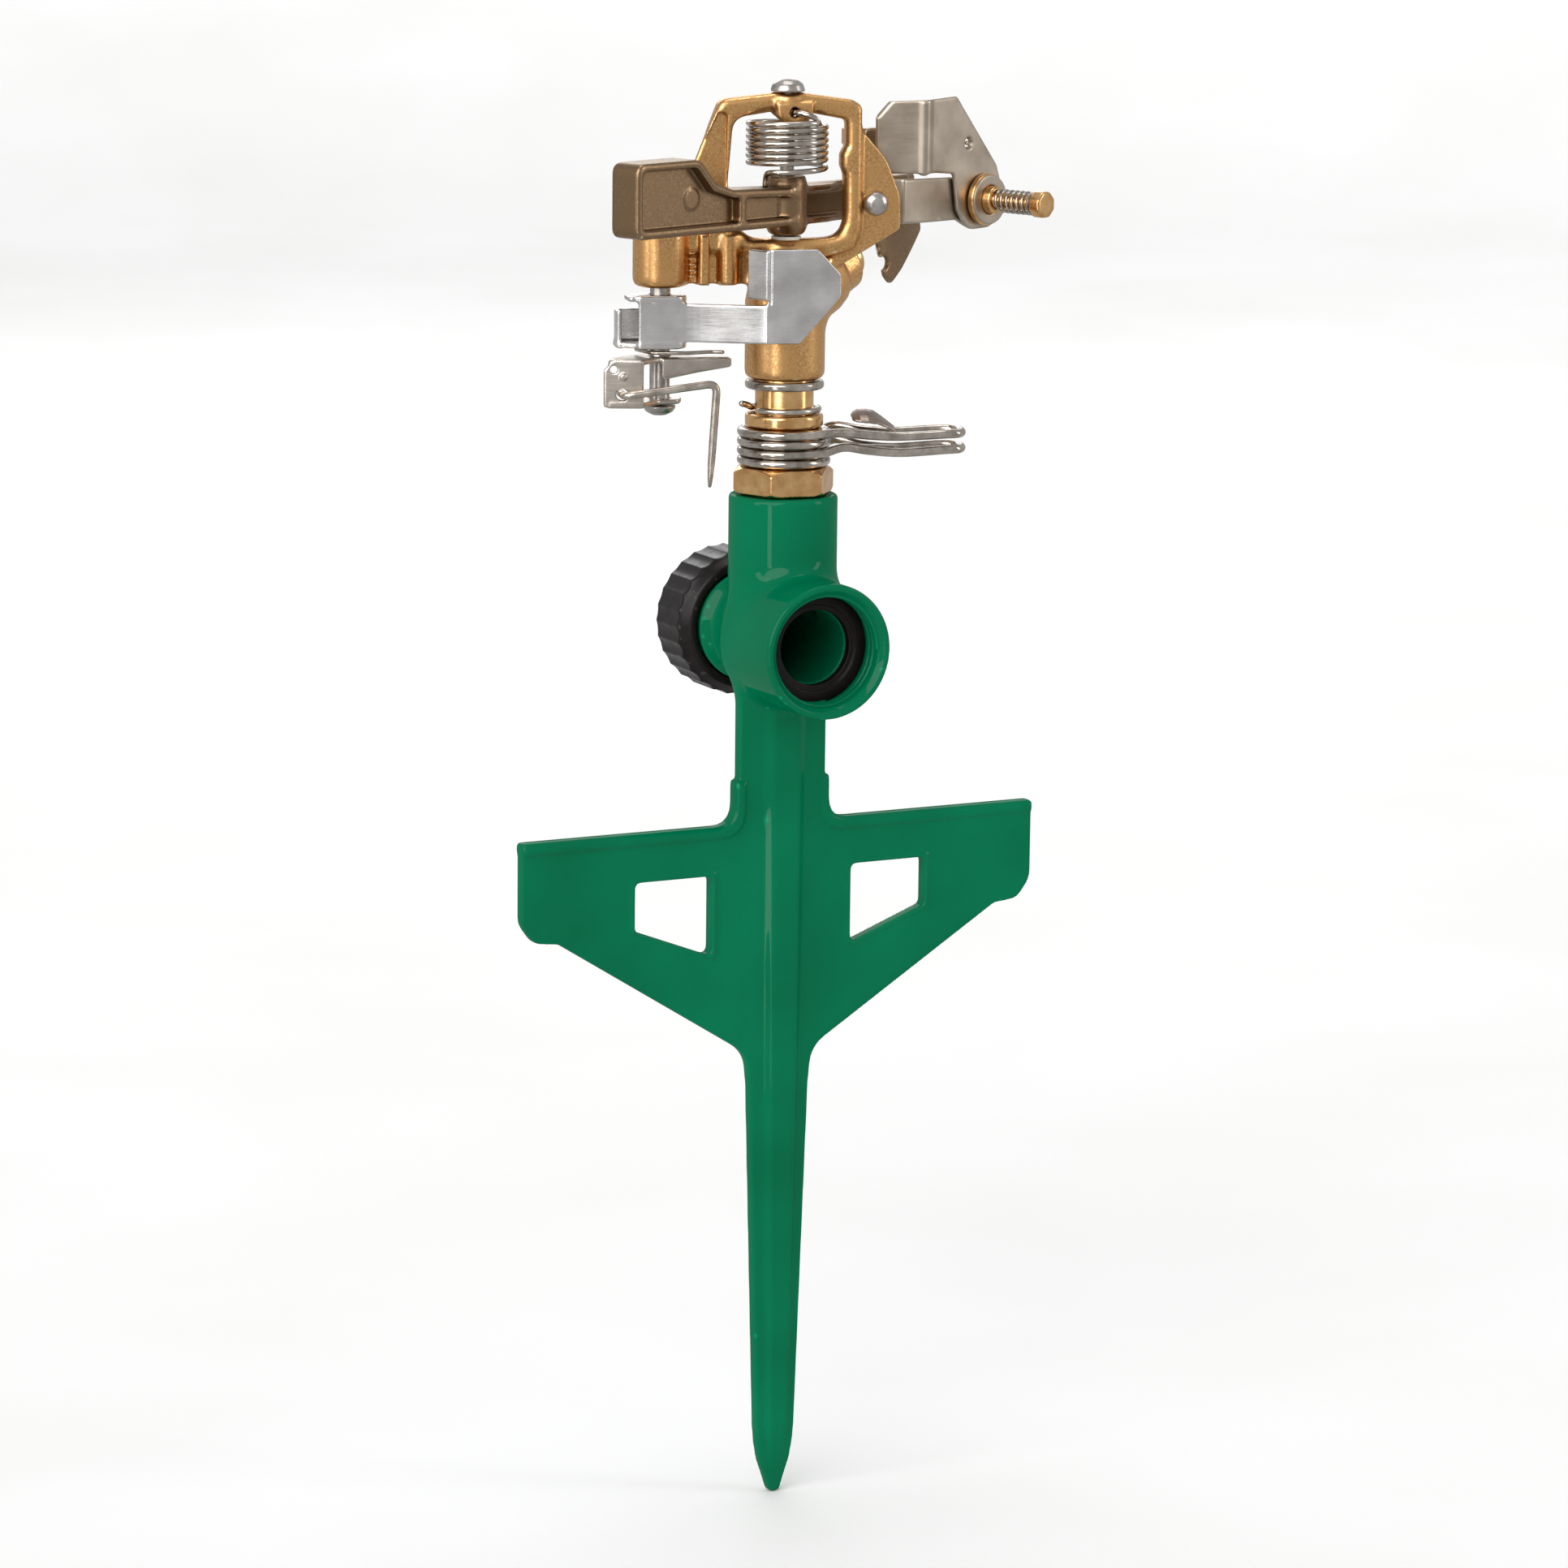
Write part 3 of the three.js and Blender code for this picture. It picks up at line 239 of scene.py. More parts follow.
def joined(solid, *parts):
    """The solid with each part added, a part being a field and its fillet."""
    for part, fillet in parts:
        solid = join(solid, part, fillet)
    return solid


def drilled(solid, edge, *tools):
    for tool in tools:
        solid = carve(solid, tool, edge)
    return solid


def turned_distance(profile, r, h, fine=0.2):
    """Distance to a solid of revolution whose outline is [radius, height]."""
    points = np.array(profile, float)
    if points[0, 0] == 0:
        points = np.vstack([points, points[::-1] * [-1, 1]])
    rs = np.arange(0, float(r.max()) + 2 * fine, fine)
    hs = np.arange(float(h.min()) - fine, float(h.max()) + 2 * fine, fine)
    table = polygon_distance(points, rs[:, None], hs[None, :])
    i, j = r / fine, (h - hs[0]) / fine
    i0, j0 = i.astype(np.int32), j.astype(np.int32)
    fi, fj = (i - i0).astype(np.float32), (j - j0).astype(np.float32)
    near = table[i0, j0] * (1 - fi) + table[i0 + 1, j0] * fi
    far = table[i0, j0 + 1] * (1 - fi) + table[i0 + 1, j0 + 1] * fi
    return near * (1 - fj) + far * fj


def along_line(block, origin, direction):
    """Radius and height of every sample about a line."""
    d = np.array(direction, float) / np.linalg.norm(direction)
    x, y, z = block.x - origin[0], block.y - origin[1], block.z - origin[2]
    h = (x * d[0] + y * d[1] + z * d[2]).astype(np.float32)
    r = np.sqrt(np.maximum(x * x + y * y + z * z - h * h, 0)).astype(np.float32)
    return r, h


def rod(block, origin, direction, radius, low, high, soft=0.0):
    r, h = along_line(block, origin, direction)
    return raised(r - radius, h, low, high, soft)


def upright(block, x, y, radius, low, high, soft=0.0):
    return rod(block, (x, y, 0), UP, radius, low, high, soft)


def cross_rod(block, x, z, radius, low, high, soft=0.0):
    """A round rod through the X-Z plane."""
    return rod(block, (x, 0, z), BACK, radius, low, high, soft)


def side_view(block, corners, arc_steps=5):
    """Distance to an outline in the X-Z plane."""
    return polygon_distance(outline(corners, arc_steps), block.x, block.z)


def flat_part(block, corners, low, high, soft=0.3):
    """A plate in the X-Z plane, from low to high across it."""
    return raised(side_view(block, corners), block.y, low, high, soft)


def level_part(block, corners, low, high, soft=0.3):
    """A plate in the X-Y plane, from low to high."""
    return raised(polygon_distance(outline(corners), block.x, block.y), block.z, low, high, soft)


def sheet_along(block, points, thick=SHEET):
    """Sheet that stands on a line in plan, endless in height."""
    return path_distance(np.array(points, float), block.x, block.y) - thick / 2


def bent_part(block, points, low, high, soft=0.25):
    """Sheet that follows a line in plan, from low to high."""
    return raised(sheet_along(block, points), block.z, low, high, soft)


def surface(block, field):
    """The field's zero surface: a point in each crossed cell and a quad for each cut edge."""
    inside = field < 0
    corner = [(i, j, k) for i in (0, 1) for j in (0, 1) for k in (0, 1)]
    shape = [n - 1 for n in field.shape]
    window = [
        inside[i:i + shape[0], j:j + shape[1], k:k + shape[2]].astype(np.uint8) for i, j, k in corner
    ]
    filled = sum(window)
    cells = np.argwhere((filled > 0) & (filled < 8))
    values = np.stack([field[tuple((cells + c).T)] for c in corner], 1)
    total, crossings = np.zeros((len(cells), 3)), np.zeros(len(cells))
    for a, first in enumerate(corner):
        for b, second in enumerate(corner):
            step = np.subtract(second, first)
            if b <= a or abs(step).sum() != 1:
                continue
            cut = (values[:, a] < 0) != (values[:, b] < 0)
            share = values[cut, a] / (values[cut, a] - values[cut, b])
            total[cut] += np.array(first) + share[:, None] * step
            crossings[cut] += 1
    points = block.start + (cells + total / crossings[:, None]) * block.step
    number = np.full(shape, -1, np.int64)
    number[tuple(cells.T)] = np.arange(len(cells))
    quads = []
    for axis in range(3):
        u, v = [k for k in range(3) if k != axis]
        if axis == 1:
            u, v = v, u
        low = [slice(1, n) for n in shape]
        low[axis] = slice(0, shape[axis])
        ahead = list(low)
        ahead[axis] = slice(1, shape[axis] + 1)
        first, second = inside[tuple(low)], inside[tuple(ahead)]
        for flip in (False, True):
            edge = np.argwhere(first & ~second if flip else ~first & second)
            edge += [0 if k == axis else 1 for k in range(3)]
            ring = []
            for du, dv in ((1, 1), (0, 1), (0, 0), (1, 0)):
                cell = edge.copy()
                cell[:, u] -= du
                cell[:, v] -= dv
                ring.append(number[tuple(cell.T)])
            quads.append(np.stack(ring[::-1] if not flip else ring, 1))
    return points, np.concatenate(quads)


# ---------------------------------------------------------------- meshes and pieces
def add_object(name, data):
    made = bpy.data.objects.new(name, data)
    bpy.context.scene.collection.objects.link(made)
    return made


def add_shape(name, mesh, turn):
    """A smooth-shaded object from a mesh that is turned about Z into the frame."""
    mesh.transform(Matrix.Rotation(math.radians(turn), 4, "Z"))
    mesh.shade_smooth()
    return add_object(name, mesh)


def add_mesh(name, points, faces, turn=0.0):
    """An object from points in millimetres and faces that all have the same number of sides."""
    mesh = bpy.data.meshes.new(name)
    points = np.asarray(points, float) * MM
    faces = np.asarray(faces)
    sides = faces.shape[1]
    mesh.vertices.add(len(points))
    mesh.vertices.foreach_set("co", points.astype(np.float32).ravel())
    mesh.loops.add(faces.size)
    mesh.loops.foreach_set("vertex_index", faces.astype(np.int32).ravel())
    mesh.polygons.add(len(faces))
    mesh.polygons.foreach_set("loop_start", np.arange(0, faces.size, sides, dtype=np.int32))
    mesh.update(calc_edges=True)
    return add_shape(name, mesh, turn)


def ring_quads(rings, sides, closed=False):
    """Quads between each ring of points and the next."""
    quads = []
    for k in range(rings if closed else rings - 1):
        here, ahead = k * sides, (k + 1) % rings * sides
        for i in range(sides):
            j = (i + 1) % sides
            quads.append((here + i, here + j, ahead + j, ahead + i))
    return quads


def apply_modifiers(piece):
    bpy.context.view_layer.update()
    shaped = piece.evaluated_get(bpy.context.evaluated_depsgraph_get())
    old = piece.data
    piece.data = bpy.data.meshes.new_from_object(shaped)
    piece.modifiers.clear()
    bpy.data.meshes.remove(old)


def settle(piece, smoothing, keep):
    """Evens the sampled surface out, then thins it where it is flat."""
    smooth = piece.modifiers.new("smooth", "SMOOTH")
    smooth.factor = 0.5
    smooth.iterations = smoothing
    thin = piece.modifiers.new("thin", "DECIMATE")
    thin.ratio = keep
    apply_modifiers(piece)
    piece.data.shade_smooth()


def finished(piece, look, body, slot, node):
    """Gives a piece its finish, hangs it on the body it rides on and hides the CAD node it stands for."""
    piece.data.materials.append(LOOK[look])
    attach(piece, body)
    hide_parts(node)


def finished_spring(piece, node, bodies, start, end):
    """Gives a spring its finish, hides its CAD node and bakes it in place, hung on no body."""
    piece.data.materials.append(LOOK["spring"])
    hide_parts(node)
    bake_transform(piece)
    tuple(start)
    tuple(end)


def sampled(name, block, field, smoothing, keep):
    """A piece made from a field over a block."""
    piece = add_mesh(name, *surface(block, np.broadcast_to(field, block.shape)), block.turn)
    settle(piece, smoothing, keep)
    return piece


def welded(node):
    """A CAD node's points in millimetres with doubles merged, and its edges."""
    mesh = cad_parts[node].data
    raw = np.array([v.co for v in mesh.vertices]) / MM
    keys, index = np.unique(np.round(raw, 3), axis=0, return_inverse=True)
    index = index.ravel()
    edges = {tuple(sorted((index[e.vertices[0]], index[e.vertices[1]]))) for e in mesh.edges}
    return keys, [e for e in edges if e[0] != e[1]]


def line_frame(origin, direction):
    """A matrix whose Z runs along a line."""
    z = Vector(direction).normalized()
    x = Vector((0, 0, 1)) if abs(z.z) < 0.9 else Vector((1, 0, 0))
    x = (x - z * x.dot(z)).normalized()
    y = z.cross(x)
    return Matrix.Translation(Vector(origin)) @ Matrix((x, y, z)).transposed().to_4x4()


def profile_of(node, origin, direction):
    """The [radius, height] outline of a turned CAD node: its edges in one half-plane through its axis."""
    points, edges = welded(node)
    local = np.array([line_frame(origin, direction).inverted() @ Vector(p) for p in points])
    r, h = np.hypot(local[:, 0], local[:, 1]), local[:, 2]
    angle = np.degrees(np.arctan2(local[:, 1], local[:, 0]))
    on_axis = r < 0.02
    first = angle[np.argmax(r)]
    kept = on_axis | (np.abs((angle - first + 180) % 360 - 180) < 1.0)
    next_to = {}
    for a, b in edges:
        if kept[a] and kept[b] and not (on_axis[a] and on_axis[b]):
            next_to.setdefault(a, []).append(b)
            next_to.setdefault(b, []).append(a)
    ends = [k for k, near in next_to.items() if len(near) == 1]
    here = min(ends or next_to, key=lambda k: h[k])
    chain = [here]
    while True:
        ahead = [k for k in next_to[chain[-1]] if k not in chain]
        if not ahead:
            break
        chain.append(ahead[0])
    return [[0.0 if on_axis[k] else float(r[k]), float(h[k])] for k in chain]


def turned(name, node, origin, direction, radius=0.2, sides=72):
    """The CAD node's own turned outline with soft corners and a round section."""
    profile = profile_of(node, origin, direction)
    closed = profile[0][0] > 0
    if closed:
        profile = [profile[-1], *profile, profile[0]]
    points = bent_line(profile, radius, (0, 0.33, 0.67, 1), 0.4)
    if closed:
        points = points[1:-1]
    angle = np.arange(sides) * 2 * math.pi / sides
    rows = [[p[0] * np.cos(angle), p[0] * np.sin(angle), np.full(sides, p[1])] for p in points]
    ring = np.array(rows).transpose(0, 2, 1).reshape(-1, 3)
    matrix = np.array(line_frame(origin, direction))
    quads = ring_quads(len(points), sides, closed)
    piece = add_mesh(name, ring @ matrix[:3, :3].T + matrix[:3, 3], quads)
    tidy_seams(piece)
    return piece


def tidy_seams(piece):
    """Merges points that meet on an axis and turns the faces outwards."""
    made = bmesh.new()
    made.from_mesh(piece.data)
    bmesh.ops.remove_doubles(made, verts=made.verts, dist=1e-6)
    bmesh.ops.dissolve_degenerate(made, edges=made.edges, dist=1e-7)
    bmesh.ops.recalc_face_normals(made, faces=made.faces)
    made.to_mesh(piece.data)
    made.free()
    piece.data.shade_smooth()


def wire(name, points, diameter, sides=14, turn=0.0, taper=None):
    """Round wire with domed ends along a line of points, thinned by taper at a share of its length."""
    line = np.asarray(points, float)
    tangent = np.gradient(line, axis=0)
    tangent /= np.linalg.norm(tangent, axis=1)[:, None]
    side = np.cross(tangent[0], [0.0, 0.0, 1.0])
    side /= np.linalg.norm(side)
    angle = np.arange(sides) * 2 * math.pi / sides
    rings = []

    def ring(centre, along, across, radius):
        other = np.cross(along, across)
        rings.append(centre + radius * (np.cos(angle)[:, None] * across + np.sin(angle)[:, None] * other))

    length = np.r_[0, np.cumsum(np.linalg.norm(np.diff(line, axis=0), axis=1))]
    for k, (centre, along) in enumerate(zip(line, tangent)):
        side = side - along * (side @ along)
        side /= np.linalg.norm(side)
        thick = diameter * (taper(length[k] / length[-1]) if taper else 1.0)
        if k == 0:
            for dome in (0.95, 0.6):
                ring(centre - along * thick / 2 * dome, along, side, thick / 2 * math.sqrt(1 - dome ** 2))
        ring(centre, along, side, thick / 2)
        if k == len(line) - 1:
            for dome in (0.6, 0.95):
                ring(centre + along * thick / 2 * dome, along, side, thick / 2 * math.sqrt(1 - dome ** 2))
    tip = len(rings) * sides
    last = tip - sides
    caps = []
    for i in range(sides):
        j = (i + 1) % sides
        caps += [(tip, j, i), (tip + 1, last + i, last + j)]
    every = np.vstack([*rings, rings[0].mean(0), rings[-1].mean(0)])
    mesh = bpy.data.meshes.new(name)
    mesh.from_pydata([tuple(p * MM) for p in every], [], [*ring_quads(len(rings), sides), *caps])
    piece = add_shape(name, mesh, turn)
    tidy_seams(piece)
    return piece


def smooth_line(points, per_span=6):
    """A Catmull-Rom line through points."""
    p = np.asarray(points, float)
    p = np.vstack([2 * p[0] - p[1], p, 2 * p[-1] - p[-2]])
    made = []
    for k in range(1, len(p) - 2):
        for t in np.arange(per_span) / per_span:
            made.append(0.5 * (
                2 * p[k] + (p[k + 1] - p[k - 1]) * t
                + (2 * p[k - 1] - 5 * p[k] + 4 * p[k + 1] - p[k + 2]) * t ** 2
                + (3 * p[k] - p[k - 1] - 3 * p[k + 1] + p[k + 2]) * t ** 3
            ))
    return np.array([*made, p[-2]])


# ---------------------------------------------------------------- finishes
def linear(code):
    """A screen colour such as 0x04764f in linear light."""
    parts = [(code >> shift & 255) / 255 for shift in (16, 8, 0)]
    return [c / 12.92 if c <= 0.04045 else ((c + 0.055) / 1.055) ** 2.4 for c in parts] + [1.0]


class Finish:
    """A procedural material; scales are in features per metre of the object's own space."""

    def __init__(self, name, **sockets):
        self.material = bpy.data.materials.new(name)
        self.material.use_nodes = True
        self.tree = self.material.node_tree
        self.shader = self.tree.nodes["Principled BSDF"]
        for socket, value in sockets.items():
            self.shader.inputs[socket.replace("_", " ")].default_value = value
        self.place = self.add("ShaderNodeTexCoord").outputs["Object"]

    def add(self, kind, **settings):
        node = self.tree.nodes.new(kind)
        for key, value in settings.items():
            setattr(node, key, value)
        return node

    def link(self, source, target):
        self.tree.links.new(source, target)

    def noise(self, scale, detail=3.0, stretch=(1, 1, 1), turn=0.0):
        mapping = self.add("ShaderNodeMapping")
        mapping.inputs["Scale"].default_value = stretch
        mapping.inputs["Rotation"].default_value = (0, 0, math.radians(turn))
        self.link(self.place, mapping.inputs["Vector"])
        noise = self.add("ShaderNodeTexNoise")
        noise.inputs["Scale"].default_value = scale
        noise.inputs["Detail"].default_value = detail
        self.link(mapping.outputs["Vector"], noise.inputs["Vector"])
        return noise.outputs["Fac"]

    def edges(self, low, high):
        """0 in the flats to 1 along raised edges."""
        return self.spread(self.add("ShaderNodeNewGeometry").outputs["Pointiness"], low, high, 0, 1)

    def spread(self, value, low, high, to_low, to_high):
        node = self.add("ShaderNodeMapRange")
        for name, number in zip(("From Min", "From Max", "To Min", "To Max"), (low, high, to_low, to_high)):
            node.inputs[name].default_value = number
        self.link(value, node.inputs["Value"])
        return node.outputs["Result"]

    def colours(self, value, stops):
        ramp = self.add("ShaderNodeValToRGB")
        while len(ramp.color_ramp.elements) < len(stops):
            ramp.color_ramp.elements.new(0.5)
        for element, (where, colour) in zip(ramp.color_ramp.elements, stops):
            element.position = where
            element.color = colour
        self.link(value, ramp.inputs["Fac"])
        return ramp.outputs["Color"]

    def tones(self, value, low, high):
        """Two close colours, one where the value is low and one where it is high."""
        return self.colours(value, [(0.3, linear(low)), (0.7, linear(high))])

    def mixed(self, share, first, second):
        mix = self.add("ShaderNodeMix", data_type="RGBA")
        self.link(share, mix.inputs[0])
        for value, socket in ((first, mix.inputs[6]), (second, mix.inputs[7])):
            if isinstance(value, list):
                socket.default_value = value
            else:
                self.link(value, socket)
        return mix.outputs[2]

    def bumps(self, *layers):
        """Bump layers, each a height, its strength and its depth in metres."""
        normal = None
        for height, strength, depth in layers:
            bump = self.add("ShaderNodeBump")
            bump.inputs["Strength"].default_value = strength
            bump.inputs["Distance"].default_value = depth
            self.link(height, bump.inputs["Height"])
            if normal is not None:
                self.link(normal, bump.inputs["Normal"])
            normal = bump.outputs["Normal"]
        self.link(normal, self.shader.inputs["Normal"])

    def set(self, socket, value):
        self.link(value, self.shader.inputs[socket])


def enamel():
    """Green paint under a thin clear gloss, with raised edges made a little paler as a painted highlight."""
    f = Finish("green_enamel", Metallic=0.0, IOR=1.5, Specular_IOR_Level=0.0,
               Coat_Weight=0.22, Coat_Roughness=0.02)
    tint = f.tones(f.noise(28, 2), 0x006341, 0x00714C)
    # painted highlight: raised edges, found by high pointiness, take a paler green
    f.set("Base Color", f.mixed(f.edges(0.54, 0.66), tint, linear(0x08835A)))
    f.set("Roughness", f.spread(f.noise(120, 3), 0.3, 0.7, 0.16, 0.24))
    f.bumps((f.noise(150, 2), 0.06, 0.0004), (f.noise(900, 2), 0.02, 0.0001))
    return f.material


def cast_metal(name, dark, base, bright, rough, sand, speckle):
    """Sand-blasted casting: fine bright speckle, soft clouds, raised edges lightened as a painted highlight,
    hollows darkened as painted shade.
    """
    f = Finish(name, Metallic=1.0)
    grain = f.noise(1900, 5)
    tone = f.colours(grain, [(0.32, linear(dark)), (0.5, linear(base)), (0.7, linear(bright))])
    cloud = f.spread(f.noise(140, 3), 0.35, 0.65, 1 - speckle, 1 - speckle / 3)
    toned = f.mixed(cloud, tone, linear(base))
    # painted shade: hollows, found by low pointiness, take the dark tone
    hollow = f.mixed(f.edges(0.42, 0.5), linear(dark), toned)
    # painted highlight: raised edges, found by high pointiness, take the bright tone
    f.set("Base Color", f.mixed(f.edges(0.52, 0.58), hollow, linear(bright)))
    f.set("Roughness", f.spread(grain, 0.3, 0.7, rough + 0.1, rough - 0.08))
    f.bumps((f.noise(2600, 3), sand, 0.00008), (f.noise(500, 2), sand * 0.6, 0.00015))
    return f.material


def turned_brass(name="turned_brass", stretch=(4, 4, 160), turn=0.0):
    """Brass with fine tool rings along its axis."""
    f = Finish(name, Metallic=1.0)
    rings = f.noise(40, 3, stretch, turn)
    f.set("Base Color", f.tones(f.noise(260, 3), 0xCB985F, 0xF0C48A))
    f.set("Roughness", f.spread(rings, 0.3, 0.7, 0.12, 0.26))
    f.bumps((rings, 0.1, 0.00006))
    return f.material


def stainless(name, turn, low, high, rough, cut=0xEFE9E0):
    """Rolled sheet: fine lines along the strip, soft stains, and a painted highlight on raised edges in the
    colour given as cut.
    """
    f = Finish(name, Metallic=1.0)
    lines = f.noise(60, 4, (3, 3, 90), turn)
    stains = f.noise(110, 4)
    middle = [(a + b) / 2 for a, b in zip(linear(low), linear(high))]
    tone = f.colours(stains, [(0.3, linear(low)), (0.55, middle), (0.75, linear(high))])
    # painted highlight: raised edges, found by high pointiness, take the pale colour given as cut
    f.set("Base Color", f.mixed(f.edges(0.53, 0.6), tone, linear(cut)))
    f.set("Roughness", f.spread(lines, 0.3, 0.7, rough - 0.08, rough + 0.08))
    f.bumps((lines, 0.03, 0.00005), (f.noise(180, 3), 0.06, 0.0002))
    return f.material


def bright_steel(name, rough, low, high):
    f = Finish(name, Metallic=1.0)
    f.set("Base Color", f.tones(f.noise(300, 3), low, high))
    f.set("Roughness", f.spread(f.noise(700, 3), 0.3, 0.7, rough - 0.06, rough + 0.08))
    f.bumps((f.noise(900, 2), 0.08, 0.00006))
    return f.material


def moulded(name, low, high, rough, grain, painted_edge_highlight=None):
    """Plastic or rubber: two close tones, a fine grain, and a painted highlight that makes raised edges a
    little paler.
    """
    f = Finish(name, Metallic=0.0, IOR=1.48, Specular_IOR_Level=0.2)
    tone = f.tones(f.noise(240, 3), low, high)
    # painted highlight: raised edges, found by high pointiness, take a paler tone
    f.set("Base Color", f.mixed(f.edges(0.52, 0.6), tone, linear(painted_edge_highlight or high)))
    f.set("Roughness", f.spread(f.noise(600, 3), 0.3, 0.7, rough - 0.07, rough + 0.07))
    f.bumps((f.noise(1500, 3), grain, 0.00007))
    return f.material


LOOK = {
    "enamel": enamel(),
    "cast_brass": cast_metal("cast_brass", 0x9A6C3D, 0xDAA86C, 0xF8D4A2, 0.32, 0.2, 0.6),
    "bronze": cast_metal("cast_bronze", 0x5A4733, 0x8C7256, 0xD6BC9C, 0.34, 0.08, 0.25),
    "turned_brass": turned_brass(),
    "stream_brass": turned_brass("stream_brass", (160, 4, 4), STREAM + 90),
    "lever": stainless("lever_sheet", HEAD_TURN, 0xC2BFBC, 0xF0EEEC, 0.26),
    "head_sheet": stainless("head_sheet", HEAD_TURN, 0xAEA499, 0xE6DDD3, 0.3),
    "leaf_sheet": stainless("leaf_sheet", HEAD_TURN, 0x857870, 0xB4A69C, 0.3),
    "stream_sheet": stainless("stream_sheet", STREAM, 0x9F9282, 0xC9BDAD, 0.38, 0xCDC2B4),
    "steel": bright_steel("steel", 0.3, 0x9A958F, 0xC9C3BD),
    "spring": bright_steel("spring_steel", 0.15, 0x9C948A, 0xD0C8BE),
    "head_wire": bright_steel("flat_wire", 0.26, 0xA1978B, 0xD2C8BC),
    "plastic": moulded("black_plastic", 0x120F0F, 0x1E1919, 0.3, 0.15, 0x3A322F),
    "rubber": moulded("black_rubber", 0x0D0909, 0x191211, 0.45, 0.2),
    "nylon": moulded("nylon", 0xC9C4B2, 0xE4E0D2, 0.48, 0.1),
}


# ---------------------------------------------------------------- camera, floor and light
def make_camera():
    """The view: from the front left, a little above the head, through a long lens. Metres and degrees."""
    data = bpy.data.cameras.new("camera")
    data.sensor_width = 36
    data.lens = 133.6
    data.shift_x = 0.00266
    data.clip_start, data.clip_end = 0.05, 20
    camera = add_object("camera", data)
    away, height = 1.399, 0.28575
    heading, tilt, roll = 26.54, 11.18, 0.66
    a, e = math.radians(heading), math.radians(tilt)
    camera.location = (-away * math.sin(a), -away * math.cos(a), height)
    forward = Vector((math.sin(a) * math.cos(e), math.cos(a) * math.cos(e), -math.sin(e)))
    aim = forward.to_track_quat("-Z", "Y").to_matrix().to_4x4()
    lean = Matrix.Rotation(math.radians(roll), 4, "Z")
    camera.matrix_world = Matrix.Translation(camera.location) @ aim @ lean
    bpy.context.scene.camera = camera


def paper():
    f = Finish("paper", Metallic=0.0)
    f.set("Base Color", f.tones(f.noise(6, 2), 0xF2F2F1, 0xF7F7F7))
    f.set("Roughness", f.spread(f.noise(40, 2), 0.3, 0.7, 0.75, 0.9))
    return f.material


def make_floor():
    """A pale floor that sweeps up all round the object, so no horizon shows."""
    low = SPIKE_TIP - 0.2
    ring_r = [0, 600, 1800, 2600, 3200, 3500, 3600]
    ring_z = [0, 0, 0, 60, 300, 700, 1300]
    sides = 72
    angle = np.arange(sides) * 2 * math.pi / sides
    points = np.array([
        [max(r, 0.01) * math.cos(a), max(r, 0.01) * math.sin(a), low + z]
        for r, z in zip(ring_r, ring_z) for a in angle
    ])
    floor = add_mesh("floor", points, ring_quads(len(ring_r), sides))
    floor.data.materials.append(paper())
    floor.visible_glossy = False


def add_light(name, where, wide, tall, power):
    """A flat light, sizes in metres and power in watts, that faces the object."""
    data = bpy.data.lights.new(name, "AREA")
    data.shape = "RECTANGLE"
    data.size = wide
    data.size_y = tall
    data.energy = power
    light = add_object(name, data)
    light.location = where
    light.rotation_mode = "QUATERNION"
    light.rotation_quaternion = (Vector((0, 0, 0.03)) - Vector(where)).to_track_quat("-Z", "Y")


def make_light():
    world = bpy.data.worlds.new("studio")
    world.use_nodes = True
    world.node_tree.nodes["Background"].inputs["Color"].default_value = (1, 1, 1, 1)
    world.node_tree.nodes["Background"].inputs["Strength"].default_value = 0.5
    bpy.context.scene.world = world
    bpy.context.scene.view_settings.view_transform = "Standard"
    sun = bpy.data.lights.new("front_light", "SUN")
    sun.energy = 2.2
    sun.angle = math.radians(50)
    key = add_object("front_light", sun)
    key.rotation_euler = Vector((-0.78, -0.62, 0.5)).to_track_quat("Z", "Y").to_euler()
    add_light("left_softbox", (-1.5, -0.2, 0.5), 0.3, 1.1, 4)
    add_light("right_softbox", (1.4, -0.9, 0.6), 0.35, 1.1, 4.5)
    add_light("front_strip", (-1.38, -1.0, -0.25), 0.26, 0.55, 2)
    add_light("top_softbox", (0.1, 0.2, 1.5), 0.7, 0.7, 4)
    add_light("back_softbox", (0.6, 1.9, 0.9), 1.2, 0.9, 6)


make_camera()
make_floor()
make_light()


# ---------------------------------------------------------------- green base
def mirrored(right):
    return outline(right + [[-x, *rest] for x, *rest in reversed(right)])


def blade_outline():
    return mirrored([
        [1.2, SPIKE_TIP, 1], [4.1, -163, 3], [5, -158, 3], [8, -66, 8], [9, -57.5, 10],
        [WING - 10, -25.5, 3], [WING - 3.6, -24.8, 4], [WING, -20, 6], [WING, 0, 1],
        [NECK + 0.6, 0, 8], [NECK + 0.6, 9.4, 1], [NECK - 0.4, 10.8, 1], [NECK - 0.4, 42, 0],
    ])


def window_outline(side, grow=0.0):
    inner, outer, top = 19.1 - grow, 39.6 + grow, -12 + grow
    low = -32 - grow
    return outline([
        [side * inner, low, 1.6], [side * outer, low + 0.385 * (outer - inner), 1.6],
        [side * outer, top, 1.6], [side * inner, top, 1.6],
    ])


def rim_outline(side):
    rim_end, rim_low = 11.2, -3.1
    return outline([
        [side * (NECK + 0.6), rim_end, 0.8], [side * (NECK + 0.6), 0, 8], [side * WING, 0, 1],
        [side * WING, rim_low, 1.2], [side * (NECK - 2.4), rim_low, 10],
        [side * (NECK - 2.4), rim_end, 0.8],
    ])


